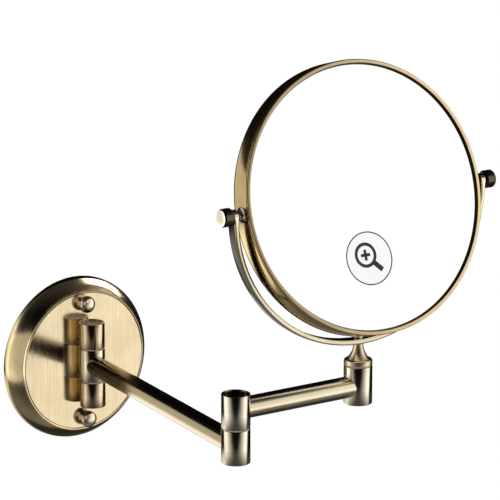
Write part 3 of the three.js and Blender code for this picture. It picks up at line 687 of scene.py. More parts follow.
# Painted shade: near-black for the yoke's inner and outer sides, a darker copy of its polished brass.
YOKE_SIDE_SHADE = Metal(
    "yoke_painted_shade_sides", (0.115, 0.10, 0.078), (0.08, 0.07, 0.055), (0.6, 0.5, 0.34), (0.14, 0.26),
    (60.0, 1800.0, 60.0), (0.0, 0.0, -MIRROR_TURN), 0.12,
)
YOKE_BRASS = Metal(
    "yoke_brass", (0.84, 0.72, 0.48), (0.44, 0.34, 0.19), (0.97, 0.88, 0.68), (0.08, 0.16),
    (60.0, 1800.0, 60.0), (0.0, 0.0, -MIRROR_TURN), 0.08, patina=0.3,
)
BAND_BRASS = Metal(
    "band_brass", (0.66, 0.48, 0.21), (0.30, 0.21, 0.09), (0.97, 0.86, 0.62), (0.12, 0.22),
    (40.0, 1100.0, 40.0), (MIRROR_LEAN, 0.0, 0.0), 0.06, patina=0.35,
)
ZINC = Metal(
    "zinc_steel", (0.56, 0.57, 0.58), (0.36, 0.37, 0.39), (0.72, 0.73, 0.74), (0.28, 0.44), stroke=0.15
)
NYLON = Moulded("nylon", (0.80, 0.78, 0.71), (0.66, 0.63, 0.55))
DARK_NYLON = Moulded("dark_nylon", (0.05, 0.045, 0.04), (0.02, 0.018, 0.016))
MIRROR_GLASS = Silvering("silvered_glass")
FILM = Silvering("sticker_film", (0.90, 0.91, 0.92), (0.80, 0.81, 0.82))
INK = Moulded("sticker_ink", (0.022, 0.022, 0.024), (0.04, 0.04, 0.042), (0.3, 0.45))

Finish = Metal | Silvering | Moulded


def install(piece: bpy.types.Object, finish: Finish, body: Body, slot: str, *nodes: str) -> bpy.types.Object:
    """Dresses a finished piece and hands it to the frame.

    Args:
        piece: The piece, in its place.
        finish: Its finish.
        body: The body that it moves with.
        slot: The record's material slot; not used.
        nodes: The frame nodes that it stands for.

    Returns:
        The piece.
    """
    piece.data.materials.clear()
    piece.data.materials.append(finish.material())
    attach(piece, body.value)
    if nodes:
        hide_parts(*nodes)
    log.info("%s rides on %s, %d faces", piece.name, body.value, len(piece.data.polygons))
    return piece


def second_finish(
    piece: bpy.types.Object, finish: Finish, wanted: Callable[[bpy.types.MeshPolygon], bool]
) -> None:
    """Gives some of a piece's faces another finish.

    Args:
        piece: The piece, already dressed.
        finish: The other finish.
        wanted: Says of a face whether it takes it.
    """
    piece.data.materials.append(finish.material())
    select_faces(piece, wanted)
    piece.active_material_index = len(piece.data.materials) - 1
    bpy.ops.object.material_slot_assign()
    bpy.ops.object.mode_set(mode="OBJECT")


# ---------------------------------------------------------------------------- wall plate
@dataclass
class WallPlate:
    """The dished wall plate with its domed nuts, standoff posts and the strap behind it."""

    radius: float = 67.0 * MM
    face_radius: float = 56.5 * MM
    depth: float = 16.2 * MM
    edge: float = 2.0 * MM
    wall: float = 1.2 * MM
    dome_radius: float = 7.0 * MM
    dome_stem: float = 5.0 * MM
    dome_height: float = 9.8 * MM
    post_radius: float = 4.5 * MM
    fit: float = 0.05 * MM
    place: Matrix = field(default_factory=lambda: Matrix.Identity(4))

    def skirt(self) -> list[Point]:
        """Draws the skirt from the upright edge up to the flat face.

        Returns:
            Its outline: one broad convex band, a fine groove and a small bead.
        """
        across, rise = self.radius - self.face_radius, self.depth - self.edge

        def at(inwards: float, up: float) -> Point:
            """Places a point by its share of the skirt's width and rise."""
            return self.radius - inwards * across, self.edge + up * rise

        edge = [at(0.0, 0.0), at(0.015, 0.12), at(0.045, 0.21), at(0.09, 0.29)]
        slope = []
        for step in range(1, 15):
            share = step / 14
            bulge = 0.035 * math.sin(math.pi * share)
            slope.append(at(0.09 + 0.73 * share - bulge, 0.29 + 0.61 * share + bulge))
        groove = [at(0.835, 0.885), at(0.855, 0.90)]
        bead = [at(0.87, 0.965), at(0.895, 1.0), at(0.94, 1.0), at(0.975, 0.985), at(1.0, 0.965)]
        return edge + slope + groove + bead

    def plate(self) -> None:
        """Turns the plate, hollow behind, and dresses its face apart from its skirt."""
        inside, inside_face = self.radius - self.wall, self.face_radius - self.wall
        floor = self.depth - self.wall
        outline = [
            (0.0, floor),
            (inside_face, floor),
            (0.5 * (inside + inside_face), self.edge + (floor - self.edge) * 0.42),
            (inside, self.edge),
            (inside, 0.0),
            (self.radius - 0.3 * MM, 0.0),
            (self.radius, 0.3 * MM),
            *self.skirt(),
            (self.face_radius - 0.5 * MM, self.depth - 0.05 * MM),
            (self.face_radius - 14 * MM, self.depth),
            (0.0, self.depth),
        ]
        piece = lay_out("dished_wall_plate", outline, 192, Axis.FRONT, self.place)
        install(piece, SKIRT_BRASS, Body.WALL, "brushed_brass", "wall_plate")
        face = -self.depth + 0.3 * MM
        second_finish(piece, PLATE_BRASS, lambda f: f.normal.y < -0.98 and f.center.y < face)

    def domes(self) -> None:
        """Turns one domed nut and copies it to the other stud."""
        crown = self.dome_height - self.dome_stem
        stem = self.dome_radius - 0.6 * MM
        flatter = 0.84  # below 1 the dome bulges past a true ellipse
        dome = [
            (self.dome_radius * x**flatter, self.dome_stem + crown * y**flatter)
            for x, y in arc((0.0, 0.0), 1.0, 3.0, 87.0, 15)
        ]
        outline = [
            (0.0, 0.0),
            (stem, 0.0),
            (stem, self.dome_stem - 0.9 * MM),
            (self.dome_radius - 0.2 * MM, self.dome_stem - 0.6 * MM),
            (self.dome_radius, self.dome_stem - 0.3 * MM),
            *dome,
            (0.0, self.dome_height),
        ]
        first = turn("domed_nut", outline, 48)
        for name in ("top", "bottom"):
            low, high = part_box(f"dome_nut_{name}")
            middle = 0.5 * (low + high)
            seat = Matrix.Translation((middle.x, high.y, middle.z))
            piece = put(copy_of(first, f"domed_nut_{name}"), seat @ Axis.FRONT.matrix())
            install(piece, NUT_BRASS, Body.WALL, "polished_brass", f"dome_nut_{name}")
        bpy.data.objects.remove(first, do_unlink=True)

    def posts(self) -> None:
        """Turns each standoff post and hollows its end to the barrel."""
        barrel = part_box("wall_knuckle_top")
        radius = 0.5 * (barrel[1].x - barrel[0].x)
        for name in ("top", "bottom"):
            low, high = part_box(f"post_{name}")
            middle = 0.5 * (low + high)
            reach = high.y - WALL_HINGE.y
            outline = [(0.0, 0.0), (self.post_radius, 0.0), (self.post_radius, reach), (0.0, reach)]
            seat = Matrix.Translation((middle.x, high.y, middle.z))
            piece = lay_out(f"standoff_post_{name}", outline, 48, Axis.FRONT, seat)
            tall = 3 * self.post_radius
            tool = barrel_tool(radius + self.fit, tall, upright(WALL_HINGE + Vector((0, 0, middle.z))))
            carve(piece, tool)
            smooth(piece)
            # The posts take the caps' dark bronze with its painted shade.
            install(piece, CAP_BRONZE_AND_SHADE, Body.WALL, "dark_bronze", f"post_{name}")

    def hardware(self) -> None:
        """Gives the strap, its studs and nuts their zinc."""
        names = ["wall_bracket"]
        for side in ("top", "bottom"):
            names += [f"bracket_stud_{side}", f"stud_nut_{side}", f"post_screw_{side}"]
        dress_nodes(names, ZINC)

    def build(self) -> None:
        """Builds everything that is fixed to the wall, apart from the barrel."""
        self.plate()
        self.domes()
        self.posts()
        self.hardware()


def copy_of(piece: bpy.types.Object, name: str) -> bpy.types.Object:
    """Copies a piece with a mesh of its own.

    Args:
        piece: The piece.
        name: Name of the copy.

    Returns:
        The copy, selected and active.
    """
    take_up(piece)
    bpy.ops.object.duplicate(linked=False)
    copy = bpy.context.object
    copy.name = name
    return copy


def barrel_tool(radius: float, height: float, place: Matrix) -> bpy.types.Object:
    """Makes the cutter that saddles a piece to a barrel.

    Args:
        radius: Radius of the saddle.
        height: Height of the cutter.
        place: Frame at its middle.

    Returns:
        The cutter.
    """
    half = height / 2
    tool = turn("saddle_cutter", [(0.0, -half), (radius, -half), (radius, half), (0.0, half)], 160)
    return put(tool, place)


def dress_nodes(names: Sequence[str], finish: Finish) -> None:
    """Gives frame nodes a finish.

    Args:
        names: The nodes.
        finish: The finish.
    """
    for name in names:
        node = frame["nodes"][name]
        node.data.materials.clear()
        node.data.materials.append(finish.material())
        log.info("%s keeps its mesh, finish %s", name, finish.name)


# ---------------------------------------------------------------------------- hinges
@dataclass
class Knuckle:
    """One turned length of a barrel, with rounded rims and a well at either end if it has one."""

    node: str
    place: Matrix
    radius: float
    body: Body
    well_below: float = 0.0
    well_above: float = 0.0
    bore: float = 3.1 * MM
    wall: float = 1.4 * MM
    rim: float = 0.5 * MM
    finish: Metal = BARREL_BRASS

    def build(self) -> None:
        """Turns the knuckle between the heights of its frame node."""
        low, high = heights(self.node)
        well, r, rim = self.radius - self.wall, self.radius, self.rim
        lower = arc((r - rim, low + rim), rim, -90.0, 0.0, 3)
        upper = arc((r - rim, high - rim), rim, 0.0, 90.0, 3)
        outline = []
        if self.well_below:
            outline += [(self.bore, low + self.well_below), (well, low + self.well_below), (well, low)]
        else:
            outline += [(self.bore, low)]
        outline += lower + upper
        if self.well_above:
            outline += [(well, high), (well, high - self.well_above), (self.bore, high - self.well_above)]
        else:
            outline += [(self.bore, high)]
        piece = put(turn(f"turned_{self.node}", outline, 96), self.place)
        install(piece, self.finish, self.body, "brushed_brass", self.node)


@dataclass
class Cap:
    """A bronze disc pressed into the end of a barrel, with a turned ring and a dimple."""

    node: str
    place: Matrix
    radius: float
    axis: Axis
    body: Body
    chamfer: float = 0.3 * MM

    def build(self) -> None:
        """Turns the cap between the heights of its frame node."""
        low, high = heights(self.node)
        thick, r = high - low, self.radius
        outline = [
            (0.0, 0.0),
            (r, 0.0),
            (r, thick - self.chamfer),
            (r - self.chamfer, thick),
            (r - 0.22 * r, thick - 0.05 * MM),
            (r - 0.26 * r, thick - 0.3 * MM),
            (r - 0.30 * r, thick - 0.05 * MM),
            (0.6 * MM, thick - 0.02 * MM),
            (0.0, thick - 0.25 * MM),
        ]
        seat = low if self.axis is Axis.UP else high
        place = self.place @ Matrix.Translation((0, 0, seat))
        piece = lay_out(f"pressed_{self.node}", outline, 64, self.axis, place)
        # Near-black: dark bronze deepened with painted shade for the dark reflection on the end face.
        install(piece, CAP_BRONZE_AND_SHADE, self.body, "dark_bronze", self.node)


@dataclass
class Washer:
    """A thin nylon washer between faces that turn on each other."""

    node: str
    place: Matrix
    radius: float
    body: Body
    bore: float = 3.1 * MM

    def build(self) -> None:
        """Turns the washer between the heights of its frame node."""
        low, high = heights(self.node)
        round_edge = 0.15 * MM
        outline = [
            (self.bore, low),
            (self.radius - round_edge, low),
            (self.radius, low + round_edge),
            (self.radius, high - round_edge),
            (self.radius - round_edge, high),
            (self.bore, high),
        ]
        piece = put(turn(f"friction_{self.node}", outline, 64), self.place)
        install(piece, NYLON, self.body, "nylon", self.node)


@dataclass
class WallBarrel:
    """The three-knuckle barrel that carries the inner arm on the wall plate."""

    radius: float = 10.5 * MM
    wall: float = 1.4 * MM
    head_well: float = 6.0 * MM
    nut_well: float = 7.8 * MM
    washer_inset: float = 0.9 * MM

    def build(self) -> None:
        """Builds the knuckles, washers and caps."""
        place = upright(Vector((WALL_HINGE.x, WALL_HINGE.y, 0)))
        Knuckle(
            "wall_knuckle_top", place, self.radius, Body.WALL, well_above=self.head_well, finish=WALL_BRASS
        ).build()
        Knuckle("wall_knuckle_middle", place, self.radius, Body.INNER_ARM).build()
        Knuckle(
            "wall_knuckle_bottom", place, self.radius, Body.WALL, well_below=self.nut_well, finish=WALL_BRASS
        ).build()
        for side, axis in (("top", Axis.UP), ("bottom", Axis.DOWN)):
            Washer(f"wall_washer_{side}", place, self.radius - self.washer_inset, Body.WALL).build()
            Cap(f"wall_cap_{side}", place, self.radius - self.wall - 0.1 * MM, axis, Body.WALL).build()
        dress_nodes(["wall_hinge_bolt", "wall_hinge_nut", "wall_hinge_spring"], ZINC)


@dataclass
class Elbow:
    """The two-knuckle barrel between the arms."""

    radius: float = 11.0 * MM
    wall: float = 1.4 * MM
    head_well: float = 6.0 * MM
    nut_well: float = 7.8 * MM
    washer_inset: float = 0.9 * MM

    def build(self) -> None:
        """Builds the knuckles, the washer and the caps."""
        place = upright(Vector((ELBOW_HINGE.x, ELBOW_HINGE.y, 0)))
        cap = self.radius - self.wall - 0.1 * MM
        Knuckle("elbow_knuckle_lower", place, self.radius, Body.INNER_ARM, well_below=self.nut_well).build()
        Knuckle("elbow_knuckle_upper", place, self.radius, Body.OUTER_ARM, well_above=self.head_well).build()
        Washer("elbow_washer", place, self.radius - self.washer_inset, Body.INNER_ARM).build()
        Cap("elbow_cap_bottom", place, cap, Axis.DOWN, Body.INNER_ARM).build()
        Cap("elbow_cap_top", place, cap, Axis.UP, Body.OUTER_ARM).build()
        dress_nodes(["elbow_bolt", "elbow_nut", "elbow_spring"], ZINC)


@dataclass
class HeadSwivel:
    """The barrel at the end of the outer arm and the trumpet neck that turns on it."""

    radius: float = 11.0 * MM
    wall: float = 1.4 * MM
    nut_well: float = 7.8 * MM
    washer_inset: float = 0.9 * MM
    collar_height: float = 4.6 * MM
    collar_round: float = 2.0 * MM
    base_radius: float = 8.6 * MM
    top_radius: float = 3.9 * MM
    flare: float = 2.2
    pin_hole: float = 3.1 * MM
    pin_depth: float = 6.0 * MM
    screw_hole: float = 2.1 * MM
    screw_depth: float = 7.0 * MM

    def neck(self, place: Matrix) -> None:
        """Turns the collar and the trumpet above it.

        Args:
            place: Frame of the swivel's axis.
        """
        low, high = heights("swivel_neck")
        shoulder, bend = low + self.collar_height, self.collar_round
        edge = 0.4 * MM
        outline = [
            (0.0, low + self.pin_depth),
            (self.pin_hole, low + self.pin_depth),
            (self.pin_hole, low),
            (self.radius - edge, low),
            (self.radius, low + edge),
            *arc((self.radius - bend, shoulder - bend), bend, 0.0, 90.0, 7),
        ]
        steps = 22
        spread, tall = self.base_radius - self.top_radius, high - shoulder
        for step in range(steps + 1):
            rise = step / steps
            narrow = (1 - rise) ** self.flare
            outline.append((self.top_radius + spread * narrow, shoulder + tall * rise))
        floor = high - self.screw_depth
        outline += [(self.screw_hole, high), (self.screw_hole, floor), (0.0, floor)]
        piece = put(turn("trumpet_neck", outline, 96), place)
        install(piece, POLISHED_BRASS, Body.YOKE, "polished_brass", "swivel_neck")

    def build(self) -> None:
        """Builds the barrel, its cap, the washer and the neck."""
        place = upright(Vector((HEAD_HINGE.x, HEAD_HINGE.y, 0)))
        cap = self.radius - self.wall - 0.1 * MM
        Knuckle("head_barrel", place, self.radius, Body.OUTER_ARM, well_below=self.nut_well).build()
        Cap("head_cap_bottom", place, cap, Axis.DOWN, Body.OUTER_ARM).build()
        Washer("swivel_washer", place, self.radius - self.washer_inset, Body.YOKE).build()
        self.neck(place)
        dress_nodes(["swivel_pin", "swivel_nut", "swivel_spring"], ZINC)


# ---------------------------------------------------------------------------- arms
@dataclass
class Arm:
    """A tube between two barrels, its ends hollowed to them."""

    node: str
    start: Vector
    end: Vector
    start_barrel: float
    end_barrel: float
    finish: Metal
    body: Body
    spigots: tuple[str, str]
    radius: float = 8.3 * MM
    wall: float = 1.2 * MM
    fit: float = 0.05 * MM

    def build(self) -> None:
        """Turns the tube, lays it between the hinges and hollows its ends."""
        low, high = heights(self.node)
        lift = Vector((0, 0, 0.5 * (low + high)))
        start, end = self.start + lift, self.end + lift
        length = (end - start).length
        bore = self.radius - self.wall
        outline = [(bore, 0.0), (self.radius, 0.0), (self.radius, length), (bore, length)]
        place = upright(start, facing(start, end))
        piece = lay_out(f"arm_{self.node}", outline, 96, Axis.RIGHT, place)
        for radius, hinge in ((self.start_barrel, start), (self.end_barrel, end)):
            carve(piece, barrel_tool(radius + self.fit, 5 * self.radius, upright(hinge)))
        smooth(piece)
        install(piece, self.finish, self.body, "dark_bronze", self.node)
        dress_nodes(self.spigots, ZINC)


# ---------------------------------------------------------------------------- yoke
@dataclass
class Yoke:
    """The half ring that holds the mirror by its tilt screws."""

    inner: float = 109.2 * MM
    outer: float = 113.4 * MM
    width: float = 10.4 * MM
    round_edge: float = 1.1 * MM
    crown: float = 0.25 * MM
    steps: int = 96
    eye_hole: float = 2.1 * MM
    screw_hole: float = 2.2 * MM
    washer_radius: float = 3.6 * MM

    def section(self) -> list[Point]:
        """Draws the strip's cross-section.

        Returns:
            Its points, each (distance from the knob axis, place across the strip).
        """
        r, half = self.round_edge, self.width / 2
        corners = [
            (self.outer - self.crown - r, half - r, 0.0),
            (self.inner + r, half - r, 90.0),
            (self.inner + r, r - half, 180.0),
            (self.outer - self.crown - r, r - half, 270.0),
        ]
        points: list[Point] = []
        for x, y, start in corners:
            points += arc((x, y), r, start, start + 90.0, 4)
        points.append((self.outer, 0.0))
        return points

    def strip(self) -> bpy.types.Object:
        """Spins the cross-section half a turn below the knob axis.

        Returns:
            The closed half ring.
        """
        clear_selection()
        points = self.section()
        bpy.ops.mesh.primitive_circle_add(vertices=len(points), radius=self.width / 2, fill_type="NGON")
        piece = bpy.context.object
        piece.name = "half_ring_yoke"
        for vertex, (reach, across) in zip(piece.data.vertices, points):
            vertex.co = (reach, across, 0.0)
        edit(piece)
        bpy.ops.mesh.select_all(action="SELECT")
        bpy.ops.mesh.spin(steps=self.steps, angle=math.pi, center=(0, 0, 0), axis=(0, -1, 0))
        bpy.ops.object.mode_set(mode="OBJECT")
        tidy_mesh(piece)
        return piece

    def build(self) -> None:
        """Builds the half ring with its eyes, its screw and the washers at the tilt screws."""
        piece = self.strip()
        half = self.width / 2
        edge = 0.6 * MM
        for axis in (Axis.RIGHT, Axis.LEFT):
            outline = [
                (0.0, self.inner),
                (half - edge, self.inner),
                (half, self.inner + edge),
                (half, self.outer - edge),
                (half - edge, self.outer),
                (0.0, self.outer),
            ]
            carve(piece, lay_out("eye", outline, 48, axis, Matrix.Identity(4)), "UNION")
        for axis in (Axis.RIGHT, Axis.LEFT, Axis.DOWN):
            bore = self.screw_hole if axis is Axis.DOWN else self.eye_hole
            ends = (self.inner - 3 * MM, self.outer + 1 * MM)
            outline = [(0.0, ends[0]), (bore, ends[0]), (bore, ends[1]), (0.0, ends[1])]
            carve(piece, lay_out("bore", outline, 32, axis, Matrix.Identity(4)))
        put(piece, YOKE_PLACE)
        smooth(piece)
        # The yoke's sides take painted shade, near-black, while its front and back faces keep bright brass.
        install(piece, YOKE_SIDE_SHADE, Body.YOKE, "polished_brass", "yoke")
        front = YOKE_PLACE.to_3x3() @ Vector((0, 1, 0))
        second_finish(piece, YOKE_BRASS, lambda f: abs(f.normal.dot(front)) > 0.45)
        self.screw()
        self.washers()

    def screw(self) -> None:
        """Turns the pan-headed screw that holds the yoke to the neck, and cuts its slot."""
        low, high = heights("yoke_screw")
        head, shank, tall, bend = 3.6 * MM, 2.0 * MM, 2.0 * MM, 1.0 * MM
        slot_size = (9.0 * MM, 0.9 * MM, 1.4 * MM)
        slot_turn = math.radians(35)
        outline = [
            (0.0, low),
            (shank, low),
            (shank, high - tall),
            (head, high - tall),
            *arc((head - bend, high - bend), bend, 0.0, 80.0, 5),
            (0.0, high),
        ]
        piece = turn("pan_head_screw", outline, 48)
        clear_selection()
        bpy.ops.mesh.primitive_cube_add(size=1, location=(0, 0, high))
        slot = bpy.context.object
        slot.scale = slot_size
        bpy.ops.object.transform_apply(location=True, rotation=True, scale=True)
        carve(piece, slot)
        put(piece, upright(Vector((HEAD_HINGE.x, HEAD_HINGE.y, 0)), MIRROR_TURN + slot_turn))
        smooth(piece)
        install(piece, POLISHED_BRASS, Body.YOKE, "polished_brass", "yoke_screw")

    def washers(self) -> None:
        """Turns the thin washers between the yoke's eyes and the pivot bosses."""
        gap, thick = 0.2 * MM, 1.0 * MM
        high = self.inner - gap
        low, bore, edge = high - thick, self.eye_hole, 0.2 * MM
        for side, axis in (("left", Axis.LEFT), ("right", Axis.RIGHT)):
            outline = [
                (bore, low),
                (self.washer_radius - edge, low),
                (self.washer_radius, low + edge),
                (self.washer_radius, high - edge),
                (self.washer_radius - edge, high),
                (bore, high),
            ]
            piece = lay_out(f"thin_tilt_washer_{side}", outline, 48, axis, YOKE_PLACE)
            install(piece, DARK_NYLON, Body.YOKE, "nylon", f"tilt_washer_{side}")


# ---------------------------------------------------------------------------- mirror
@dataclass
class Mirror:
    """The two-sided mirror: a flat band, a bezel and a glass on each side, and the tilt knobs."""

    radius: float = 104.0 * MM
    half_depth: float = 9.9 * MM
    band_wall: float = 1.6 * MM
    flange: float = 1.3 * MM
    groove: float = 0.4 * MM
    skirt: float = 5.0 * MM
    skirt_wall: float = 1.2 * MM
    view_radius: float = 99.8 * MM
    glass_radius: float = 100.7 * MM
    glass_front: float = 7.3 * MM
    glass_thick: float = 2.6 * MM
    sag: float = 8.2 * MM

    def lay(
        self, name: str, outline: Sequence[Point], sides: int = 192, axis: Axis = Axis.FRONT
    ) -> bpy.types.Object:
        """Turns a piece and lays it in the tilted mirror, its axis pointing the given way."""
        return lay_out(name, outline, sides, axis, MIRROR_PLACE)

    def bowl(self, radius: float) -> float:
        """Gives the height of the hollow glass at a distance from its axis."""
        curve = (self.glass_radius**2 + self.sag**2) / (2 * self.sag)
        return self.glass_front - self.sag + curve - math.sqrt(curve**2 - radius**2)

    def band(self) -> None:
        """Turns the flat band between the bezels."""
        half = self.half_depth - self.flange - self.groove
        inner, edge = self.radius - self.band_wall, 0.5 * MM
        front = arc((self.radius - edge, half - edge), edge, 0.0, 90.0, 4)
        back = [(r, -h) for r, h in reversed(front)]
        piece = self.lay("flat_rim_band", [(inner, -half), *back, *front, (inner, half)])
        install(piece, BAND_BRASS, Body.MIRROR, "brushed_brass", "rim_band")

    def bezel(self, node: str, axis: Axis) -> None:
        """Turns one crowned bezel with the step that holds its glass.

        Args:
            node: Its frame node.
            axis: The way that it faces.
        """
        outer = self.radius - self.band_wall - 0.1 * MM
        inner, seat, front = outer - self.skirt_wall, self.half_depth - 2.5 * MM, self.half_depth
        lap, root = self.radius - 0.15 * MM, self.half_depth - self.flange
        bend = 0.8 * MM
        crown = arc((lap - bend, front - bend), bend, 0.0, 80.0, 6)
        top, hollow, lip = self.view_radius + 1.3 * MM, 2.2 * MM, 0.1 * MM
        steps = 8
        for step in range(steps + 1):
            share = step / steps
            crown.append((top - (top - self.view_radius - lip) * share, front - hollow * share**1.2))
        outline = [
            (self.view_radius, seat),
            (inner, seat),
            (inner, front - self.skirt),
            (outer, front - self.skirt),
            (outer, root),
            (lap, root),
            *crown,
            (self.view_radius, front - hollow - lip),
        ]
        piece = self.lay(f"crowned_{node}", outline, 192, axis)
        install(piece, BEZEL_BRASS, Body.MIRROR, "polished_brass", node)
        normal = MIRROR_PLACE.to_3x3() @ axis.matrix().to_3x3() @ Vector((0, 0, 1))

        def inner_wall(face: bpy.types.MeshPolygon) -> bool:
            """Finds the wall round the glass.

            Args:
                face: A face of the bezel.

            Returns:
                Whether it belongs to the wall.
            """
            out = face.center - KNOB_AXIS
            level = out.dot(normal)
            return abs(face.normal.dot(normal)) < 0.8 and (out - level * normal).length < top

        # The wall round the glass is painted near-black: painted shade in the recess.
        second_finish(piece, SHADOW_BRONZE, inner_wall)

    def glasses(self) -> None:
        """Turns the hollow magnifying glass and the plain glass behind it."""
        steps = 28
        radii = [self.glass_radius * step / steps for step in range(steps + 1)]
        front = [(r, self.bowl(r)) for r in radii]
        back = [(r, h - self.glass_thick) for r, h in front]
        hollow = self.lay("hollow_magnifying_glass", [*back, *reversed(front)])
        install(hollow, MIRROR_GLASS, Body.MIRROR, "mirror_glass", "magnifying_glass")
        inner = self.glass_front - 3.0 * MM
        edge = 0.3 * MM
        outline = [
            (0.0, inner),
            (self.glass_radius, inner),
            (self.glass_radius, self.glass_front - edge),
            (self.glass_radius - edge, self.glass_front),
            (0.0, self.glass_front),
        ]
        plain = self.lay("flat_plain_glass", outline, 192, Axis.BACK)
        install(plain, MIRROR_GLASS, Body.MIRROR, "mirror_glass", "plain_glass")
        dress_nodes(["glass_spacer"], NYLON)

    def bosses(self) -> None:
        """Turns the flared bosses that carry the tilt screws."""
        base, top = 104.1 * MM, 107.9 * MM
        foot, neck, bore, sunk = 6.0 * MM, 3.6 * MM, 2.1 * MM, base - 0.2 * MM
        steps, rim = 8, base + 0.7 * MM
        flare = []
        for step in range(steps + 1):
            rise = step / steps
            flare.append((neck + (foot - neck) * (1 - rise) ** 2, rim + (top - rim) * rise))
        outline = [(bore, sunk), (foot, sunk), *flare, (bore, top)]
        for side, axis in (("left", Axis.LEFT), ("right", Axis.RIGHT)):
            piece = self.lay(f"flared_pivot_boss_{side}", outline, 64, axis)
            install(piece, NUT_BRASS, Body.MIRROR, "polished_brass", f"pivot_boss_{side}")
        dress_nodes(["tilt_screw_left", "tilt_screw_right"], ZINC)

    def build(self) -> None:
        """Builds the mirror with its sticker and knobs."""
        self.band()
        self.bezel("bezel_front", Axis.FRONT)
        self.bezel("bezel_back", Axis.BACK)
        self.glasses()
        self.bosses()
        Sticker(self).build()
        for side, axis in (("left", Axis.LEFT), ("right", Axis.RIGHT)):
            Knob(side, axis).build()


@dataclass
class Knob:
    """A small knob with a diamond knurl and a polished, slightly domed end."""

    side: str
    axis: Axis
    low: float = 113.6 * MM
    length: float = 9.0 * MM
    radius: float = 7.2 * MM
    face: float = 6.2 * MM
    bore: float = 2.1 * MM
    grip: float = 5.0 * MM
    chamfer: float = 0.7 * MM
    knurl: float = 0.6 * MM
    sides: int = 48
    rows: int = 9

    def build(self) -> None:
        """Turns the knob, then pulls every other point of its side out into a diamond knurl."""
        core = self.radius - self.knurl
        start, end = self.low + self.chamfer, self.low + self.length - self.chamfer - 0.5 * MM
        band = [(core, start + (end - start) * row / self.rows) for row in range(self.rows + 1)]
        top, crown = self.low + self.length, 0.6 * MM
        dome = [
            (self.face * math.cos(angle), top - crown + crown * math.sin(angle))
            for angle in (0.1, 0.35, 0.7, 1.0, 1.3)
        ]
        outline = [
            (0.0, self.low + self.grip),
            (self.bore, self.low + self.grip),
            (self.bore, self.low),
            (core - self.chamfer, self.low),
            *band,
            (self.face + 0.1 * MM, end + 0.45 * MM),
            (self.face, end + 0.5 * MM),
            *dome,
            (0.0, top),
        ]
        piece = turn(f"knurled_knob_{self.side}", outline, self.sides)
        pitch = (end - start) / self.rows
        near = pitch / 4

        def raised(co: Vector) -> bool:
            """Finds the tips of the diamonds.

            Args:
                co: A point of the knob.

            Returns:
                Whether it is a tip.
            """
            if abs(co.xy.length - core) > near or not start + near < co.z < end - near:
                return False
            column = round(math.atan2(co.y, co.x) / (2 * math.pi) * self.sides)
            return (column + round((co.z - start) / pitch)) % 2 == 0

        select_vertices(piece, raised)
        bpy.ops.transform.shrink_fatten(value=self.knurl)
        bpy.ops.object.mode_set(mode="OBJECT")
        put(piece, MIRROR_PLACE @ self.axis.matrix())
        smooth(piece, 20.0)
        install(piece, KNOB_BRONZE, Body.MIRROR, "dark_bronze", f"knob_{self.side}")
        outward = (MIRROR_PLACE.to_3x3() @ self.axis.matrix().to_3x3()) @ Vector((0, 0, 1))
        rim = KNOB_AXIS + outward * (top - crown - 0.1 * MM)

        def polished(face: bpy.types.MeshPolygon) -> bool:
            """Says whether a face belongs to the knob's polished end."""
            return (face.center - rim).dot(outward) > 0 and face.normal.dot(outward) > 0.3

        second_finish(piece, KNOB_FACE_BRASS, polished)


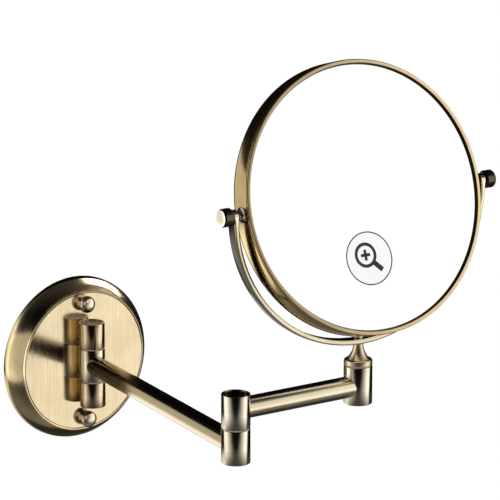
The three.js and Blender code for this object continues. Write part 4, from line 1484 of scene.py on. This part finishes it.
@dataclass
class Sticker:
    """The round film on the hollow glass, printed with a ring and a magnifier sign."""

    mirror: Mirror
    radius: float = 21.0 * MM
    drop: float = 46.0 * MM
    thick: float = 0.12 * MM
    ink: float = 0.05 * MM
    border: Point = (19.5 * MM, 20.4 * MM)  # inner and outer radius of the ring near the edge
    lens: Point = (7.1 * MM, 9.6 * MM)  # inner and outer radius of the magnifier's ring
    lens_place: Point = (-2.6 * MM, 2.8 * MM)
    plus: Point = (8.4 * MM, 2.4 * MM)  # length and width of each stroke of the plus sign
    handle: Point = (8.6 * MM, 4.0 * MM)
    handle_reach: float = 13.6 * MM  # from the middle of the lens to the middle of the handle
    sides: int = 96

    def curved(self, piece: bpy.types.Object, base: float) -> bpy.types.Object:
        """Bends a flat piece to the hollow of the glass and lays it in place.

        Args:
            piece: The piece, flat on z = 0 round its own centre.
            base: Height of its underside over the glass.

        Returns:
            The piece in its place.
        """
        glass = self.mirror
        curve = (glass.glass_radius**2 + glass.sag**2) / (2 * glass.sag)
        swing = math.asin(self.drop / curve)
        for vertex in piece.data.vertices:
            reach = curve - base - vertex.co.z
            flat = vertex.co.xy.length
            vertex.co.z = -math.sqrt(reach**2 - flat**2)
        centre = glass.bowl(0.0) + curve
        lean = Matrix.Translation((0, 0, centre)) @ Matrix.Rotation(-swing, 4, "X")
        return put(piece, MIRROR_PLACE @ Axis.FRONT.matrix() @ lean)

    def ring(self, name: str, inner: float, outer: float) -> bpy.types.Object:
        """Turns a flat ring of ink between two radii."""
        return turn(name, [(inner, 0.0), (outer, 0.0), (outer, self.ink), (inner, self.ink)], self.sides)

    def bar(self, length: float, width: float, centre: Point, heading: float) -> bpy.types.Object:
        """Makes a flat bar of ink with rounded corners, cut finely enough to bend.

        Args:
            length: Its length.
            width: Its width.
            centre: Its middle.
            heading: Its direction from +X, in radians.

        Returns:
            The bar, flat.
        """
        clear_selection()
        bpy.ops.mesh.primitive_cube_add(size=1, location=(0, 0, 0))
        piece = bpy.context.object
        piece.scale = (length, width, self.ink)
        bpy.ops.object.transform_apply(location=True, rotation=True, scale=True)
        bevel(piece, 0.25 * width, 2, 60)
        edit(piece)
        bpy.ops.mesh.select_all(action="SELECT")
        bpy.ops.mesh.subdivide(number_cuts=4)
        bpy.ops.object.mode_set(mode="OBJECT")
        place = Matrix.Translation((*centre, self.ink / 2)) @ Matrix.Rotation(heading, 4, "Z")
        return put(piece, place)

    def build(self) -> None:
        """Builds the film and its print."""
        rings = 6
        radii = [self.radius * step / rings for step in range(1, rings + 1)]
        below = [(r, 0.0) for r in radii]
        above = [(r, self.thick) for r in reversed(radii)]
        film = turn("sticker_film", [(0.0, 0.0), *below, *above, (0.0, self.thick)], self.sides)
        install(self.curved(film, 0.01 * MM), FILM, Body.MIRROR, "sticker", "magnifier_sticker")
        across, up = self.lens_place
        down = math.radians(-45)
        grip = (across + self.handle_reach * math.cos(down), up + self.handle_reach * math.sin(down))
        prints = [
            self.ring("ink_ring", *self.border),
            put(self.ring("ink_lens", *self.lens), Matrix.Translation((across, up, 0.0))),
            self.bar(*self.plus, self.lens_place, 0.0),
            self.bar(*reversed(self.plus), self.lens_place, 0.0),
            self.bar(*self.handle, grip, down),
        ]
        clear_selection()
        for piece in prints:
            piece.select_set(True)
        bpy.context.view_layer.objects.active = prints[0]
        bpy.ops.object.join()
        ink = bpy.context.object
        ink.name = "sticker_print"
        install(self.curved(ink, self.thick + 0.02 * MM), INK, Body.MIRROR, "sticker")


# ---------------------------------------------------------------------------- studio
@dataclass
class Studio:
    """A pale floor, a surround that looks white but reflects in bands, four lamps and the camera.

    Each band is a ramp of brightness over a direction: flags from behind the camera to straight
    ahead of it, layers and ground from straight down to straight up, and behind from the side of
    the room to the side of the wall.
    """

    floor_height: float = -0.42
    camera: Triple = (-1.4095, -2.1589, 0.7534)
    lift: float = 14.47  # degrees that the camera looks down
    swing: float = -36.34  # degrees that it looks to the right of straight at the wall
    lens: float = 236.9
    shown: float = 1.05  # brightness of the surround to the camera
    reflected: float = 1.5  # and in everything that reflects it
    flags: tuple[Point, ...] = (
        (0.00, 0.002), (0.074, 0.004), (0.093, 0.04), (0.122, 0.13), (0.159, 0.25),
        (0.206, 0.39), (0.262, 0.55), (0.327, 0.77), (0.40, 0.95), (0.46, 1.0),
        (0.585, 1.0), (0.625, 0.22), (0.66, 0.004), (1.00, 0.004),
    )
    layers: tuple[Point, ...] = (
        (0.00, 0.15), (0.24, 0.12), (0.35, 1.00), (0.72, 1.00), (0.80, 0.18), (0.88, 0.04), (1.00, 0.03),
    )
    ground: tuple[Point, ...] = (
        (0.00, 0.30), (0.15, 0.40), (0.26, 0.75), (0.31, 0.60), (0.345, 0.0), (1.00, 0.0),
    )
    behind: tuple[Point, ...] = (
        (0.00, 0.06), (0.45, 0.06), (0.66, 0.08), (0.78, 0.25), (0.87, 0.95), (0.97, 1.00), (1.00, 1.0),
    )

    wall_side: Triple = (-0.25, 0.97, 0.0)  # the direction that behind is read along

    def ramp(self, tree: bpy.types.NodeTree, stops: Sequence[Point]) -> bpy.types.Node:
        """Adds a grey ramp.

        Args:
            tree: The world's nodes.
            stops: (place, brightness) of each stop.

        Returns:
            The ramp node.
        """
        node = tree.nodes.new("ShaderNodeValToRGB")
        node.color_ramp.interpolation = "EASE"
        elements = node.color_ramp.elements
        for place, value in stops[1:-1]:
            elements.new(place).color = (value, value, value, 1.0)
        for element, (place, value) in zip((elements[0], elements[-1]), (stops[0], stops[-1])):
            element.position = place
            element.color = (value, value, value, 1.0)
        return node

    def surround(self) -> None:
        """Makes the surround: white to look at, with soft dark flags in what metal reflects."""
        world = bpy.data.worlds.new("studio")
        bpy.context.scene.world = world
        world.use_nodes = True
        tree = world.node_tree
        tree.nodes.clear()
        join = tree.links.new

        def add(kind: str, **settings: object) -> bpy.types.Node:
            """Adds a node to the world.

            Args:
                kind: The node's type.
                settings: Its properties.

            Returns:
                The node.
            """
            node = tree.nodes.new(kind)
            for key, value in settings.items():
                setattr(node, key, value)
            return node

        where = add("ShaderNodeTexCoord")
        sideways = Matrix.Rotation(math.radians(self.swing), 3, "Z")
        downwards = Matrix.Rotation(math.radians(-self.lift), 3, "X")
        forward = sideways @ downwards @ Vector((0, 1, 0))
        along = add("ShaderNodeVectorMath", operation="DOT_PRODUCT")
        join(where.outputs["Generated"], along.inputs[0])
        along.inputs[1].default_value = forward
        parts = add("ShaderNodeSeparateXYZ")
        join(where.outputs["Generated"], parts.inputs["Vector"])

        def share(value: bpy.types.NodeSocket, stops: Sequence[Point]) -> bpy.types.NodeSocket:
            """Maps a value between -1 and 1 through a ramp.

            Args:
                value: The socket that gives the value.
                stops: The ramp's stops.

            Returns:
                The ramp's colour socket.
            """
            scaled = add("ShaderNodeMath", operation="MULTIPLY_ADD")
            join(value, scaled.inputs[0])
            scaled.inputs[1].default_value = 0.5
            scaled.inputs[2].default_value = 0.5
            ramp = self.ramp(tree, stops)
            join(scaled.outputs[0], ramp.inputs["Fac"])
            return ramp.outputs["Color"]

        both = add("ShaderNodeMix", data_type="RGBA", blend_type="MULTIPLY")
        both.inputs["Factor"].default_value = 1.0
        join(share(along.outputs["Value"], self.flags), both.inputs[6])
        join(share(parts.outputs["Z"], self.layers), both.inputs[7])
        lit = add("ShaderNodeMix", data_type="RGBA", blend_type="LIGHTEN")
        lit.inputs["Factor"].default_value = 1.0
        join(both.outputs[2], lit.inputs[6])
        back = add("ShaderNodeVectorMath", operation="DOT_PRODUCT")
        join(where.outputs["Generated"], back.inputs[0])
        back.inputs[1].default_value = self.wall_side
        swept = add("ShaderNodeMix", data_type="RGBA", blend_type="MULTIPLY")
        swept.inputs["Factor"].default_value = 1.0
        join(share(parts.outputs["Z"], self.ground), swept.inputs[6])
        join(share(back.outputs["Value"], self.behind), swept.inputs[7])
        join(swept.outputs[2], lit.inputs[7])
        seen = add("ShaderNodeBackground")
        seen.inputs["Color"].default_value = (1.0, 1.0, 1.0, 1.0)
        seen.inputs["Strength"].default_value = self.shown
        mirrored = add("ShaderNodeBackground")
        mirrored.inputs["Strength"].default_value = self.reflected
        join(lit.outputs[2], mirrored.inputs["Color"])
        path = add("ShaderNodeLightPath")
        mix = add("ShaderNodeMixShader")
        clean = add("ShaderNodeMath", operation="MAXIMUM")
        join(path.outputs["Is Camera Ray"], clean.inputs[0])
        join(path.outputs["Is Singular Ray"], clean.inputs[1])
        join(clean.outputs[0], mix.inputs["Fac"])
        join(mirrored.outputs[0], mix.inputs[1])
        join(seen.outputs[0], mix.inputs[2])
        end = add("ShaderNodeOutputWorld")
        join(mix.outputs[0], end.inputs["Surface"])

    def floor(self) -> None:
        """Lays the pale floor, well below the mirror."""
        clear_selection()
        bpy.ops.mesh.primitive_plane_add(size=14, location=(0, 0, self.floor_height))
        plane = bpy.context.object
        plane.name = "studio_floor"
        graph = Graph("pale_floor")
        graph.shader.inputs["Base Color"].default_value = (0.92, 0.92, 0.92, 1.0)
        graph.shader.inputs["Roughness"].default_value = 0.9
        graph.shader.inputs["Emission Color"].default_value = (1.0, 1.0, 1.0, 1.0)
        graph.shader.inputs["Emission Strength"].default_value = 0.9
        plane.data.materials.append(graph.material)
        plane.visible_glossy = False

    def lamp(
        self, name: str, place: Triple, size: Point, power: float, target: Vector, only: tuple[str, ...]
    ) -> None:
        """Hangs a large soft lamp that faces a point and lights a few pieces.

        Args:
            name: Name of the lamp.
            place: Where it hangs.
            size: Its width and height.
            power: Its power, in watts.
            target: The point that it faces.
            only: Starts of the names of the pieces that it lights. It lights nothing else.
        """
        clear_selection()
        bpy.ops.object.light_add(type="AREA", location=place)
        lamp = bpy.context.object
        lamp.name = name
        lamp.data.shape = "RECTANGLE"
        lamp.data.size, lamp.data.size_y = size
        lamp.data.energy = power
        lamp.rotation_euler = (target - Vector(place)).to_track_quat("-Z", "Y").to_euler()
        lamp.visible_camera = False
        lit = bpy.data.collections.new(f"{name}_lights")
        for piece in bpy.data.objects:
            if piece.name.startswith(only):
                lit.objects.link(piece)
        lamp.light_linking.receiver_collection = lit

    def look(self) -> None:
        """Sets up the camera and the plain view transform."""
        clear_selection()
        bpy.ops.object.camera_add(location=self.camera)
        camera = bpy.context.object
        camera.name = "studio_camera"
        camera.rotation_euler = (math.radians(90 - self.lift), 0, math.radians(self.swing))
        camera.data.lens = self.lens
        camera.data.sensor_width = 36
        camera.data.clip_end = 50
        scene = bpy.context.scene
        scene.camera = camera
        scene.view_settings.view_transform = "Standard"
        scene.view_settings.look = "None"

    def build(self) -> None:
        """Builds the studio."""
        self.surround()
        self.floor()
        middle = Vector((0.02, -0.15, 0.08))
        plate, dull = ("dished_wall_plate",), ("flat_rim_band", "knurled", "arm_inner")
        self.lamp("right_softbox", (2.2, 0.3, 1.5), (0.9, 1.6), 30.0, middle, plate)
        self.lamp("left_softbox", (-1.1, -0.35, 0.0), (2.2, 1.2), 6.0, Vector((0, 0, 0)), plate)
        self.lamp("front_softbox", (-1.8, -2.7, 0.95), (2.4, 2.4), 10.0, WALL_HINGE, ("domed_nut",))
        self.lamp("rim_softbox", (-0.36, 0.72, -0.22), (1.2, 1.2), 4.0, KNOB_AXIS, dull)
        self.look()


def main() -> None:
    """Builds the mirror sub-assembly by sub-assembly, then the studio."""
    logging.basicConfig(level=logging.INFO, format="%(name)s: %(message)s")
    WallPlate().build()
    WallBarrel().build()
    # The inner arm takes the darker copy of the arm bronze: painted shade.
    Arm(
        "inner_arm_tube", WALL_HINGE, ELBOW_HINGE, 10.5 * MM, 11.0 * MM, INNER_ARM_SHADED_BRONZE, Body.INNER_ARM,
        ("inner_spigot_wall", "inner_spigot_elbow"),
    ).build()
    Elbow().build()
    # The outer arm takes the lighter copy of the arm bronze: painted light.
    Arm(
        "outer_arm_tube", ELBOW_HINGE, HEAD_HINGE, 11.0 * MM, 11.0 * MM, OUTER_ARM_LIT_BRONZE, Body.OUTER_ARM,
        ("outer_spigot_elbow", "outer_spigot_head"),
    ).build()
    HeadSwivel().build()
    Yoke().build()
    Mirror().build()
    Studio().build()
    clear_selection()


if __name__ == "__main__":
    main()
